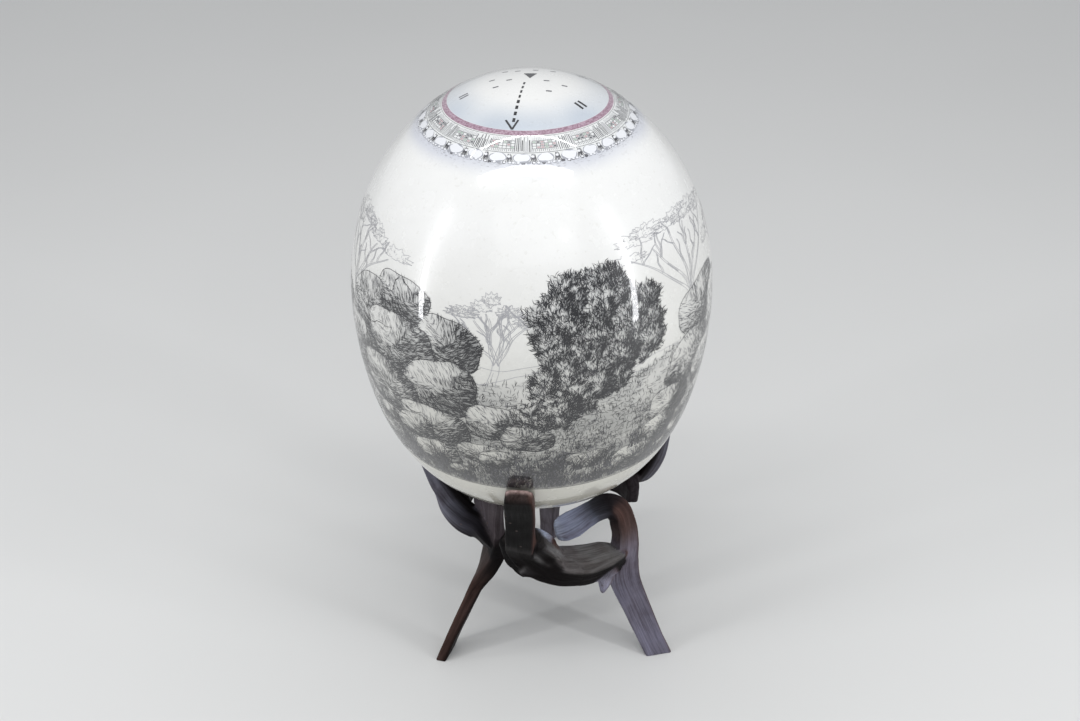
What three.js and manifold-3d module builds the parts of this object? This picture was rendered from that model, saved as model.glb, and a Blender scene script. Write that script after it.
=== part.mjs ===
// Decorated ostrich egg resting on a three-legged carved hardwood stand.
// Millimetres, +Z up. The origin is on the table, on the egg's axis.
//
// The egg is one closed solid of revolution. The stand is three separate
// hardwood pieces, woven together without glue. Each piece has a straight
// splayed leg that divides at its knee: an outer sling runs round to the side
// and rises as the prong that cradles the egg, and an inner arm rises, turns in
// under the egg and ends in a tongue. The tongues differ in length: the right
// one hangs over its own sling, the left one reaches round behind to the sling
// of the back piece, and the back one ends beside the right arm.

import * as THREE from 'three';
import { mergeVertices } from 'three/addons/utils/BufferGeometryUtils.js';
import Module from 'manifold-3d';

// ---------------------------------------------------------------- dimensions
const EGG_R = 63;            // largest radius of the egg
const EGG_C = 1.2623;        // half length / largest radius
const EGG_K = [0.0075, 0.1033, -0.1287];   // bluntness of the two ends
const EGG_Z = 155;           // height of the egg's centre above the table
const EGG_RINGS = 26;        // facets along the egg
const EGG_SIDES = 48;        // facets round the egg
const SEAT_GAP = 0.35;       // clearance between a prong and the shell
const STAND_X = 5.3;         // the stand's axis, to the side of the egg's axis
const SECTION_SIDES = 8;     // facets round a carved strip

// One row is one station of a carved strip:
// [p, r, z, o, a, b, nr, nt, nz, q]
//   p   angle round the stand from the piece's own leg, degrees, clockwise
//       as seen from above
//   r   radius, z height above the table
//   o   1 measured from the stand's axis, 0 from the egg's axis
//   a   half width, b half thickness
//   nr, nt, nz   where the broad face looks: outward, along +p, up
//   q   0 chamfered strip, 1 strip with a ridge along its outer face
const LEG_RIGHT = [
  [0, 50.4, -4, 1, 4.8, 1.9, 0.68, 0.73, 0.2, 0],
  [0, 44.7, 7, 1, 5.0, 2.0, 0.68, 0.73, 0.2, 0],
  [0, 38.1, 21, 1, 5.4, 2.2, 0.68, 0.73, 0.2, 0],
  [0, 32.9, 33, 1, 6.0, 2.5, 0.7, 0.71, 0.2, 0],
  [0, 31.6, 41, 1, 6.4, 2.9, 0.8, 0.55, 0.1, 0],
  [0, 32.6, 51, 1, 5.6, 2.7, 0.93, 0.35, 0.1, 0],
  [1, 32.3, 60, 1, 5.0, 2.5, 0.95, 0.2, 0.25, 0],
  [4, 30.4, 68.0, 1, 5.0, 2.3, 0.8, 0.1, 0.6, 0],
];
const LEG_LEFT = [
  [3.2, 50.6, -4, 1, 4.8, 1.9, 0.68, 0.73, 0.2, 0],
  [2.6, 45.8, 7, 1, 4.8, 2.0, 0.68, 0.73, 0.2, 0],
  [1.1, 39.4, 21, 1, 4.9, 2.2, 0.68, 0.73, 0.2, 0],
  [0, 33.4, 33, 1, 5.5, 2.6, 0.7, 0.71, 0.2, 0],
  [-2, 29.6, 41, 1, 6.3, 3.1, 0.8, 0.55, 0.1, 0],
  [-5, 26.8, 51, 1, 6.7, 3.0, 0.93, 0.35, 0.1, 0],
  [-5, 27.0, 60, 1, 6.6, 2.3, 0.95, 0.2, 0.25, 0],
  [-1, 27.0, 67.8, 1, 6.4, 2.1, 0.8, 0.1, 0.6, 0],
];
const LEG_BACK = [
  [0, 51.3, -4, 1, 4.2, 1.9, 0.68, 0.73, 0.2, 0],
  [0, 46.6, 7, 1, 4.3, 2.0, 0.68, 0.73, 0.2, 0],
  [0, 40.8, 21, 1, 4.5, 2.2, 0.68, 0.73, 0.2, 0],
  [0, 35.2, 33, 1, 5.2, 2.5, 0.7, 0.71, 0.2, 0],
  [0, 32.6, 41, 1, 6.0, 2.9, 0.8, 0.55, 0.1, 0],
  [0, 31.6, 51, 1, 5.4, 2.7, 0.93, 0.35, 0.1, 0],
  [1, 30.4, 60, 1, 4.9, 2.4, 0.95, 0.2, 0.25, 0],
  [3, 28.8, 67.8, 1, 4.9, 2.2, 0.8, 0.1, 0.6, 0],
];
const TONGUE_LEFT = [
  [11, 25.4, 72.8, 1, 4.9, 2.1, 0.35, 0, 0.94, 0],
  [27, 21.4, 74.2, 1, 4.9, 2.1, 0.05, 0, 1, 0],
  [55, 18.4, 73.6, 1, 4.8, 2.1, 0, 0, 1, 0],
  [86, 17.6, 70.4, 1, 4.6, 2.1, 0.1, 0, 1, 0],
  [112, 17.2, 66.4, 1, 4.0, 2.0, 0.4, 0, 0.92, 0],
  [134, 21.2, 65.2, 1, 4.6, 2.2, 0.65, 0, 0.76, 0],
  [154, 24.8, 65.8, 1, 5.2, 2.4, 0.7, 0, 0.7, 0],
  [171, 25.6, 66.9, 1, 4.4, 2.3, 0.7, 0, 0.7, 0],
  [177, 25.8, 67.4, 1, 2.7, 1.5, 0.7, 0, 0.7, 0],
];
const TONGUE_RIGHT = [
  [12, 28.0, 71.8, 1, 4.6, 2.2, 0.3, 0.1, 0.95, 0],
  [22, 26.2, 71.0, 1, 4.2, 2.1, 0.1, 0, 1, 0],
  [31, 25.3, 69.4, 1, 4.4, 2.1, 0.2, 0, 0.98, 0],
  [42, 25.4, 67.9, 1, 5.0, 2.2, 0.35, 0, 0.93, 0],
  [50, 25.8, 67.0, 1, 4.7, 2.2, 0.4, 0, 0.9, 0],
  [55.5, 26.0, 66.6, 1, 3.6, 1.9, 0.4, 0, 0.9, 0],
  [57.5, 26.1, 66.5, 1, 2.2, 1.3, 0.4, 0, 0.9, 0],
];
const TONGUE_BACK = [
  [11, 25.4, 72.8, 1, 4.9, 2.1, 0.35, 0, 0.94, 0],
  [27, 21.4, 74.2, 1, 4.9, 2.1, 0.05, 0, 1, 0],
  [55, 18.4, 73.6, 1, 4.8, 2.1, 0, 0, 1, 0],
  [86, 17.6, 70.4, 1, 4.6, 2.1, 0.1, 0, 1, 0],
  [100, 17.3, 68.4, 1, 4.1, 2.0, 0.3, 0, 0.95, 0],
  [107, 17.3, 67.5, 1, 2.8, 1.5, 0.3, 0, 0.95, 0],
];
const SLING_RIGHT = [
  [3, 31.4, 43.6, 1, 4.0, 2.4, 1, 0.1, 0, 0],
  [11, 31.2, 46.8, 1, 4.8, 4.4, 1, 0, -0.15, 0],
  [22, 30.6, 49.4, 1, 4.9, 6.0, 1, 0, -0.3, 0],
  [38, 30.2, 50.8, 1, 4.9, 6.6, 1, 0, -0.34, 0],
  [54, 30.8, 53.0, 1, 5.2, 6.2, 1, 0, -0.25, 0],
  [68, 33.0, 57.2, 1, 5.3, 4.9, 1, 0, -0.05, 0],
  [77.5, 36.2, 65.0, 1, 5.2, 3.6, 1, 0, -0.2, 0],
];
const PRONG_RIGHT = [
  [68.8, 41.2, 75.5, 0, 5.2, 3.0, 1, 0, -0.3, 0],
  [67.6, 46.0, 86.0, 0, 5.2, 2.7, 1, 0, -0.35, 0],
  [66.8, 50.6, 96.0, 0, 5.2, 2.6, 1, 0, -0.45, 0],
  [66.3, 55.2, 104.0, 0, 5.2, 2.6, 1, 0, -0.55, 0],
  [66.1, 57.4, 108.2, 0, 4.7, 2.5, 1, 0, -0.6, 0],
  [66.0, 58.3, 110.4, 0, 3.0, 1.7, 1, 0, -0.6, 0],
];
const SLING_LEFT = [
  [-6, 27.6, 53.0, 1, 4.0, 3.2, 1, 0.1, 0.1, 0],
  [1, 30.6, 59.6, 1, 4.0, 4.6, 1, 0, 0.1, 0],
  [9, 34.8, 62.4, 1, 3.9, 5.2, 1, 0, 0.12, 0],
  [18, 38.4, 65.4, 1, 4.1, 4.8, 1, 0, 0.05, 0],
  [27, 41.4, 69.4, 1, 4.7, 4.1, 1, 0, -0.1, 0],
];
const PRONG_LEFT = [
  [34.5, 44.8, 76.6, 0.9, 5.1, 3.4, 1, 0, -0.2, 0],
  [41.5, 47.4, 85.6, 0.6, 5.1, 2.8, 1, 0, -0.3, 0],
  [48.5, 51.2, 96.0, 0.3, 5.1, 2.6, 1, 0, -0.45, 0],
  [54, 55.2, 104.0, 0, 5.1, 2.6, 1, 0, -0.55, 0],
  [56, 57.4, 108.4, 0, 4.6, 2.5, 1, 0, -0.6, 0],
  [57, 58.3, 110.6, 0, 3.0, 1.7, 1, 0, -0.6, 0],
];
const SLING_BACK = [
  [-3, 32.0, 42, 1, 4.2, 3.2, 1, 0.1, 0.1, 0],
  [8, 31.6, 46.5, 1, 5.0, 4.6, 1, 0, 0.1, 0],
  [22, 31.2, 49.8, 1, 4.9, 5.4, 1, 0, 0.12, 0],
  [38, 31.2, 52.6, 1, 4.9, 5.4, 1, 0, 0.12, 0],
  [54, 33.0, 56.6, 1, 5.2, 5.0, 1, 0, 0.1, 0],
  [66, 38.0, 61.8, 1, 5.3, 4.2, 1, 0, 0, 0],
];
const PRONG_BACK = [
  [69, 43.6, 69.5, 1, 5.3, 3.5, 1, 0, -0.3, 0],
  [69.5, 48.0, 79.8, 0.7, 5.3, 2.9, 1, 0, -0.3, 0],
  [68.5, 51.8, 92.0, 0.3, 5.3, 2.6, 1, 0, -0.4, 0],
  [67, 55.4, 103.4, 0, 5.2, 2.6, 1, 0, -0.55, 0],
  [66.1, 57.4, 108.0, 0, 4.7, 2.5, 1, 0, -0.6, 0],
  [66.0, 58.3, 110.2, 0, 3.0, 1.7, 1, 0, -0.6, 0],
];
// a short shoulder carries each sling on past its prong
const SHOULDER_RIGHT = [
  [46, 30.6, 51.4, 1, 4.4, 5.4, 1, 0, -0.3, 0],
  [58, 32.0, 54.2, 1, 5.4, 5.0, 1, 0, -0.2, 0],
  [66, 33.6, 58.6, 1, 7.4, 4.3, 1, 0, 0, 0],
  [72.5, 34.2, 62.4, 1, 9.4, 4.3, 1, 0, 0, 0],
  [80, 34.0, 61.8, 1, 9.6, 4.0, 1, 0, 0, 0],
  [86, 33.9, 61.0, 1, 8.2, 3.0, 1, -0.1, 0, 0],
  [90, 33.9, 60.2, 1, 6.2, 2.4, 1, -0.2, 0, 0],
  [92.5, 33.9, 59.8, 1, 4.0, 1.5, 1, -0.2, 0, 0],
];
const SHOULDER_LEFT = [
  [14, 34.4, 61.2, 1, 3.6, 3.6, 1, 0, 0, 0],
  [24, 35.4, 61.6, 1, 5.0, 3.6, 1, 0, 0, 0],
  [38, 35.0, 60.4, 1, 5.8, 3.0, 1, -0.1, 0, 0],
  [50, 34.0, 58.8, 1, 4.6, 2.4, 1, -0.2, 0, 0],
  [54, 33.6, 58.2, 1, 2.8, 1.5, 1, -0.2, 0, 0],
];
const SHOULDER_BACK = [
  [54, 32.2, 55.0, 1, 4.6, 3.4, 1, 0, 0, 0],
  [64, 33.4, 57.6, 1, 6.4, 3.4, 1, 0, 0, 0],
  [74, 33.4, 58.4, 1, 6.4, 3.0, 1, -0.1, 0, 0],
  [82, 33.2, 58.0, 1, 4.8, 2.4, 1, -0.2, 0, 0],
  [85, 33.1, 57.7, 1, 3.0, 1.5, 1, -0.2, 0, 0],
];

// azimuth of each piece's leg (0 = towards -Y, 90 = towards +X), degrees
const LEGS = [
  { name: 'stand_leg_right', leg: 60, arm: [...LEG_RIGHT, ...TONGUE_RIGHT], sling: [...SLING_RIGHT, ...PRONG_RIGHT], shoulder: SHOULDER_RIGHT },
  { name: 'stand_leg_left', leg: -60, arm: [...LEG_LEFT, ...TONGUE_LEFT], sling: [...SLING_LEFT, ...PRONG_LEFT], shoulder: SHOULDER_LEFT },
  { name: 'stand_leg_back', leg: 180, arm: [...LEG_BACK, ...TONGUE_BACK], sling: [...SLING_BACK, ...PRONG_BACK], shoulder: SHOULDER_BACK },
];

// ---------------------------------------------------------------- manifold
const wasm = await Module();
wasm.setup();

function toSolid(geometry) {
  const g = geometry.clone();
  g.deleteAttribute('normal');
  g.deleteAttribute('uv');
  const m = mergeVertices(g, 1e-4);
  return new wasm.Manifold(new wasm.Mesh({
    numProp: 3,
    vertProperties: new Float32Array(m.attributes.position.array),
    triVerts: new Uint32Array(m.index.array),
  }));
}

function toGeometry(solid) {
  const m = solid.getMesh();
  const g = new THREE.BufferGeometry();
  g.setAttribute('position', new THREE.BufferAttribute(new Float32Array(m.vertProperties), 3));
  g.setIndex(new THREE.BufferAttribute(new Uint32Array(m.triVerts), 1));
  g.computeVertexNormals();
  return g;
}

// ---------------------------------------------------------------- egg
function eggRadius(z) {
  const t = THREE.MathUtils.clamp(z / (EGG_C * EGG_R), -1, 1);
  return EGG_R * Math.sqrt(1 - t * t) * (1 + EGG_K[0] * t + EGG_K[1] * t * t + EGG_K[2] * t ** 3);
}

function eggGeometry(rings, sides, offset) {
  const half = EGG_C * EGG_R;
  const profile = [];
  for (let i = 0; i <= rings; i++) {
    const z = -half * Math.cos((Math.PI * i) / rings);
    const r = i === 0 || i === rings ? 0 : eggRadius(z);
    profile.push(new THREE.Vector2(r, z));
  }
  if (offset) {
    for (let i = 0; i <= rings; i++) {
      const a = profile[Math.max(i - 1, 0)];
      const b = profile[Math.min(i + 1, rings)];
      const n = new THREE.Vector2(b.y - a.y, a.x - b.x).normalize();
      if (i === 0) n.set(0, -1);
      if (i === rings) n.set(0, 1);
      profile[i] = profile[i].clone().addScaledVector(n, offset);
    }
    profile[0].x = 0;
    profile[rings].x = 0;
  }
  const g = new THREE.LatheGeometry(profile, sides);
  g.rotateX(Math.PI / 2);
  g.translate(0, 0, EGG_Z);
  return g;
}

// ---------------------------------------------------------------- strips
const CHAMFERED = [[1, -0.45], [1, 0.45], [0.72, 1], [-0.72, 1], [-1, 0.45], [-1, -0.45], [-0.72, -1], [0.72, -1]];
const RIDGED = [[1, -0.5], [1, 0.3], [0.45, 0.72], [-0.12, 1], [-0.95, 0.35], [-1, -0.4], [-0.62, -1], [0.7, -1]];

function cylindrical(leg, p, r, z, o) {
  const az = THREE.MathUtils.degToRad(leg - p);
  return new THREE.Vector3(STAND_X * o + r * Math.sin(az), -r * Math.cos(az), z);
}

function strip(rows, leg, steps) {
  const stations = rows.map((w) => {
    const az = THREE.MathUtils.degToRad(leg - w[0]);
    const out = new THREE.Vector3(Math.sin(az), -Math.cos(az), 0);
    const along = new THREE.Vector3(-Math.cos(az), -Math.sin(az), 0);
    const n = out.multiplyScalar(w[6]).addScaledVector(along, w[7]).add(new THREE.Vector3(0, 0, w[8]));
    return { c: cylindrical(leg, w[0], w[1], w[2], w[3]), a: w[4], b: w[5], n: n.normalize(), q: w[9] };
  });
  const path = new THREE.CatmullRomCurve3(stations.map((s) => s.c), false, 'centripetal');
  const last = stations.length - 1;
  const value = (key, t) => {
    const x = t * last;
    const i = Math.min(Math.floor(x), last - 1);
    return THREE.MathUtils.lerp(stations[i][key], stations[i + 1][key], x - i);
  };
  // a capped cylinder is bent onto the path, ring by ring
  const g = new THREE.CylinderGeometry(1, 1, 1, SECTION_SIDES, steps, false);
  const pos = g.attributes.position;
  for (let v = 0; v < pos.count; v++) {
    const t = THREE.MathUtils.clamp(0.5 - pos.getY(v), 0, 1);
    const x = t * last;
    const i = Math.min(Math.floor(x), last - 1);
    const n = stations[i].n.clone().lerp(stations[i + 1].n, x - i);
    const c = path.getPoint(t);
    const tangent = path.getTangent(t);
    n.addScaledVector(tangent, -n.dot(tangent)).normalize();
    const w = new THREE.Vector3().crossVectors(n, tangent).normalize();
    const rad = Math.hypot(pos.getX(v), pos.getZ(v));
    let u = 0;
    let h = 0;
    if (rad > 0.5) {
      const k = ((Math.round((Math.atan2(pos.getX(v), pos.getZ(v)) / (2 * Math.PI)) * SECTION_SIDES) % SECTION_SIDES) + SECTION_SIDES) % SECTION_SIDES;
      const q = value('q', t);
      u = THREE.MathUtils.lerp(CHAMFERED[k][0], RIDGED[k][0], q) * value('a', t);
      h = THREE.MathUtils.lerp(CHAMFERED[k][1], RIDGED[k][1], q) * value('b', t);
    }
    c.addScaledVector(w, -u).addScaledVector(n, h);
    pos.setXYZ(v, c.x, c.y, c.z);
  }
  return g;
}

function closed(geometry) {
  let solid = toSolid(geometry);
  if (solid.volume() < 0) {
    const g = geometry.clone();
    const index = g.index.array;
    for (let i = 0; i < index.length; i += 3) {
      const k = index[i];
      index[i] = index[i + 1];
      index[i + 1] = k;
    }
    solid = toSolid(g);
  }
  return solid;
}

// everything above the table
const aboveTable = toSolid(new THREE.BoxGeometry(400, 400, 300).translate(0, 0, 150));
const seat = closed(eggGeometry(40, 72, SEAT_GAP + 0.1));

function standLeg({ leg, arm, sling, shoulder }) {
  const inner = closed(strip(arm, leg, 48));
  const outer = closed(strip(sling, leg, 34));
  const end = closed(strip(shoulder, leg, 12));
  return toGeometry(inner.add(outer).add(end).intersect(aboveTable).subtract(seat));
}

// ---------------------------------------------------------------- assembly
const shell = new THREE.MeshStandardMaterial({ name: 'lacquered_shell', color: 0xeef0ee, roughness: 0.12, metalness: 0 });
const wood = {
  stand_leg_right: new THREE.MeshStandardMaterial({ name: 'stained_hardwood_right', color: 0x4a4450, roughness: 0.42, metalness: 0 }),
  stand_leg_left: new THREE.MeshStandardMaterial({ name: 'stained_hardwood_left', color: 0x4d3a36, roughness: 0.42, metalness: 0 }),
  stand_leg_back: new THREE.MeshStandardMaterial({ name: 'stained_hardwood_back', color: 0x352d33, roughness: 0.42, metalness: 0 }),
};

const object = new THREE.Group();

const eggMesh = new THREE.Mesh(toGeometry(closed(eggGeometry(EGG_RINGS, EGG_SIDES, 0))), shell);
eggMesh.name = 'egg';
object.add(eggMesh);

for (const piece of LEGS) {
  const mesh = new THREE.Mesh(standLeg(piece), wood[piece.name]);
  mesh.name = piece.name;
  object.add(mesh);
}

export default object;
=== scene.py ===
"""Looks of a lacquered, ink-decorated ostrich egg on a woven hardwood stand."""

import math

import bmesh
import bpy
import numpy as np
from mathutils import Matrix, Vector, kdtree


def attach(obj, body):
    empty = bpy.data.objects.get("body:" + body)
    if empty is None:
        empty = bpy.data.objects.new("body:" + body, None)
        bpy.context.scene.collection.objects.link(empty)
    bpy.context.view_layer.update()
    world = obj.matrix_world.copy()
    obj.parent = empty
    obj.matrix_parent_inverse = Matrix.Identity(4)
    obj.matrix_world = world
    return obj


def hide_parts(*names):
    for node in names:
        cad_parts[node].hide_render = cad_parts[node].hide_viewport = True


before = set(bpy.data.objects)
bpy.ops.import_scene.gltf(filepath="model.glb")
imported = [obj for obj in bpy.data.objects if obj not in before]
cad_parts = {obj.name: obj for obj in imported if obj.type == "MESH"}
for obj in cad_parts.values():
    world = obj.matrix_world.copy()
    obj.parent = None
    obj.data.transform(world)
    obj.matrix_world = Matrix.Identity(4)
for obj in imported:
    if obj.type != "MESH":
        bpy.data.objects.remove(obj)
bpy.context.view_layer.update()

MM = 0.001
scene = bpy.context.scene
scene.view_settings.view_transform = "Standard"

# ---------------------------------------------------------------- camera
DOWN, YAW, ROLL = math.radians(33.51), math.radians(0.28), math.radians(1.30)
fwd = np.array([0, math.cos(DOWN), -math.sin(DOWN)])
up = np.array([0, math.sin(DOWN), math.cos(DOWN)])
right = np.array([1.0, 0, 0])
fwd2 = fwd * math.cos(YAW) + right * math.sin(YAW)
right2 = right * math.cos(YAW) - fwd * math.sin(YAW)
cam_x = right2 * math.cos(ROLL) - up * math.sin(ROLL)
cam_y = right2 * math.sin(ROLL) + up * math.cos(ROLL)
cam_data = bpy.data.cameras.new("camera")
cam_data.lens = 1300 / 1080 * 36
cam_data.sensor_width = 36
cam_data.sensor_fit = "HORIZONTAL"
cam_data.clip_start, cam_data.clip_end = 0.02, 20
cam_data.dof.use_dof = False
camera = bpy.data.objects.new("camera", cam_data)
scene.collection.objects.link(camera)
m = Matrix.Identity(4)
for i, axis in enumerate((cam_x, cam_y, -fwd2)):
    for k in range(3):
        m[k][i] = axis[k]
m[0][3], m[1][3], m[2][3] = 0.0, -396.05 * MM, 387.9 * MM
camera.matrix_world = m
scene.camera = camera


# ---------------------------------------------------------------- node helpers
def material(name):
    mat = bpy.data.materials.new(name)
    mat.use_nodes = True
    nt = mat.node_tree
    return mat, nt, nt.nodes["Principled BSDF"]


def node(nt, kind, **settings):
    n = nt.nodes.new(kind)
    for key, value in settings.items():
        setattr(n, key, value)
    return n


def ramp(nt, source, stops):
    n = node(nt, "ShaderNodeValToRGB")
    e = n.color_ramp.elements
    while len(e) > 1:
        e.remove(e[-1])
    e[0].position, e[0].color = stops[0][0], (*stops[0][1], 1)
    for pos, col in stops[1:]:
        x = e.new(pos)
        x.color = (*col, 1)
    nt.links.new(source, n.inputs[0])
    return n.outputs[0]


def remap(nt, source, a, b, c, d):
    n = node(nt, "ShaderNodeMapRange")
    n.inputs["From Min"].default_value, n.inputs["From Max"].default_value = a, b
    n.inputs["To Min"].default_value, n.inputs["To Max"].default_value = c, d
    nt.links.new(source, n.inputs["Value"])
    return n.outputs["Result"]


def noise(nt, vector, scale, detail=4.0, rough=0.55, distort=0.0):
    n = node(nt, "ShaderNodeTexNoise")
    n.inputs["Scale"].default_value = scale
    n.inputs["Detail"].default_value = detail
    n.inputs["Roughness"].default_value = rough
    n.inputs["Distortion"].default_value = distort
    nt.links.new(vector, n.inputs["Vector"])
    return n.outputs["Fac"]


def mix(nt, fac, a, b, blend="MIX"):
    n = node(nt, "ShaderNodeMix", data_type="RGBA", blend_type=blend)
    for sock, value in ((n.inputs[0], fac), (n.inputs[6], a), (n.inputs[7], b)):
        if isinstance(value, (int, float)):
            sock.default_value = value
        elif isinstance(value, tuple):
            sock.default_value = (*value, 1)
        else:
            nt.links.new(value, sock)
    return n.outputs[2]


def bump(nt, height, strength, distance, normal=None):
    n = node(nt, "ShaderNodeBump")
    n.inputs["Strength"].default_value = strength
    n.inputs["Distance"].default_value = distance
    nt.links.new(height, n.inputs["Height"])
    if normal is not None:
        nt.links.new(normal, n.inputs["Normal"])
    return n.outputs["Normal"]


def mapped(nt, source, scale):
    n = node(nt, "ShaderNodeMapping")
    n.inputs["Scale"].default_value = scale
    nt.links.new(source, n.inputs["Vector"])
    return n.outputs["Vector"]


def add_object(name, verts, faces, mats, face_mats=None, normals=None):
    mesh = bpy.data.meshes.new(name)
    mesh.from_pydata(np.asarray(verts).tolist(), [], faces if isinstance(faces, list) else faces.tolist())
    for mt in mats:
        mesh.materials.append(mt)
    mesh.polygons.foreach_set("use_smooth", np.ones(len(mesh.polygons), bool))
    if face_mats is not None:
        mesh.polygons.foreach_set("material_index", np.asarray(face_mats, np.int32))
    mesh.update()
    if normals is not None:
        mesh.normals_split_custom_set_from_vertices(np.asarray(normals).tolist())
    o = bpy.data.objects.new(name, mesh)
    scene.collection.objects.link(o)
    return o


# ---------------------------------------------------------------- the shell's profile, in mm
EGG_R, EGG_C, EGG_Z = 63.0, 1.2623, 155.0
EGG_K = (0.0075, 0.1033, -0.1287)
SHRINK = 0.9988
HALF = EGG_C * EGG_R


def profile(z):
    t = z / HALF
    return EGG_R * np.sqrt(np.clip(1 - t * t, 0, None)) * (1 + EGG_K[0] * t + EGG_K[1] * t * t + EGG_K[2] * t**3)


ang = np.linspace(-math.pi / 2, math.pi / 2, 60001)
PZ = HALF * np.sin(ang) * SHRINK
PR = profile(HALF * np.sin(ang)) * SHRINK
PS = np.concatenate([[0], np.cumsum(np.hypot(np.diff(PZ), np.diff(PR)))])
PS -= np.interp(0, PZ, PS)
PDR, PDZ = np.gradient(PR, PS), np.gradient(PZ, PS)
CIRC = 2 * math.pi * EGG_R


def shell(x, s, off=0.0):
    """Point and outward normal of the shell at x, mm of arc round the equator, and s, mm of arc up from it."""
    a = np.asarray(x) / EGG_R
    r, z = np.interp(s, PS, PR), np.interp(s, PS, PZ)
    dr, dz = np.interp(s, PS, PDR), np.interp(s, PS, PDZ)
    k = np.hypot(dr, dz)
    nr, nz = dz / k, -dr / k
    n = np.stack([nr * np.sin(a), -nr * np.cos(a), nz * np.ones_like(a)], -1)
    p = np.stack([r * np.sin(a), -r * np.cos(a), EGG_Z + z + 0 * a], -1)
    return p + n * off, n


# ---------------------------------------------------------------- drawing: where and how dark
def wrap(d):
    return (d + CIRC / 2) % CIRC - CIRC / 2


def smooth(a, b, x):
    t = np.clip((x - a) / (b - a), 0, 1)
    return t * t * (3 - 2 * t)


def vnoise(x, y, cell, seed):
    nx = max(3, round(CIRC / cell))
    g = np.random.default_rng(seed).random((nx, 97))
    u, v = (np.asarray(x) % CIRC) / CIRC * nx, (np.asarray(y) + 200) / cell
    i, j = np.floor(u).astype(int), np.floor(v).astype(int)
    fu, fv = u - i, v - j
    fu, fv = fu * fu * (3 - 2 * fu), fv * fv * (3 - 2 * fv)
    a, b = g[i % nx, j % 97], g[(i + 1) % nx, j % 97]
    c, d = g[i % nx, (j + 1) % 97], g[(i + 1) % nx, (j + 1) % 97]
    return (a * (1 - fu) + b * fu) * (1 - fv) + (c * (1 - fu) + d * fu) * fv


def fbm(x, y, cell, seed):
    return (vnoise(x, y, cell, seed) * 0.55 + vnoise(x, y, cell / 2, seed + 1) * 0.3 + vnoise(x, y, cell / 4, seed + 2) * 0.15)


BOTTOM = -46.3
rng = np.random.default_rng(11)


def ground(x):
    """Height of the line where the ground meets the sky."""
    a = np.asarray(x) / EGG_R
    return 1 + 3.5 * np.sin(2 * a + 0.6) + 2.2 * np.sin(5 * a + 2.1) + 1.0 * np.sin(9 * a)


class Blob:
    def __init__(self, kind, cx, cy, rx, ry, rot=0, seed=0, dark=1.0):
        self.kind, self.cx, self.cy, self.rx, self.ry, self.dark = kind, cx, cy, rx, ry, dark
        self.c, self.s = math.cos(math.radians(rot)), math.sin(math.radians(rot))
        self.ph = np.random.default_rng(500 + seed).random(5) * 6.28
        self.seed = seed

    def local(self, x, y):
        dx, dy = wrap(np.asarray(x) - self.cx), np.asarray(y) - self.cy
        return (dx * self.c + dy * self.s) / self.rx, (-dx * self.s + dy * self.c) / self.ry

    def edge(self, th):
        p = self.ph
        if self.kind == "rock":
            e = 1 / (np.abs(np.cos(th)) ** 2.8 + np.abs(np.sin(th)) ** 2.8) ** (1 / 2.8)
            return e * (0.97 + 0.05 * np.sin(2 * th + p[0]) + 0.04 * np.sin(3 * th + p[1]) + 0.025 * np.sin(7 * th + p[2]))
        return 0.95 + 0.09 * np.sin(3 * th + p[0]) + 0.07 * np.sin(5 * th + p[1]) + 0.05 * np.sin(11 * th + p[2])

    def depth(self, x, y):
        u, v = self.local(x, y)
        return np.hypot(u, v) / self.edge(np.arctan2(v, u))

    def tone(self, x, y):
        u, v = self.local(x, y)
        d = np.clip(self.depth(x, y), 0, 1.3)
        w = np.sqrt(np.clip(1.05 - np.clip(d, 0, 1) ** 2, 0, 1))
        ux, vy = u * self.c - v * self.s, u * self.s + v * self.c
        lit = -0.48 * ux + 0.62 * vy + 0.62 * w
        if self.kind == "rock":
            n = fbm(x, y, 5.0, 40 + self.seed)
            t = 0.98 - 0.84 * np.clip(lit, -0.2, 1) + 0.75 * (n - 0.5)
            t += 0.35 * smooth(0.55, 0.62, fbm(x * 0.6 + y * 1.1, y - 0.3 * x, 7.0, 90 + self.seed)) * (0.4 + 0.6 * (lit < 0.6))
            return np.clip(t, 0.16, 1.0) * self.dark
        n = vnoise(x, y, 1.6, 60 + self.seed)
        return np.clip(1.16 - 0.80 * np.clip(lit, 0, 1) + 0.75 * (n - 0.5), 0.26, 1.0) * self.dark


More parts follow.
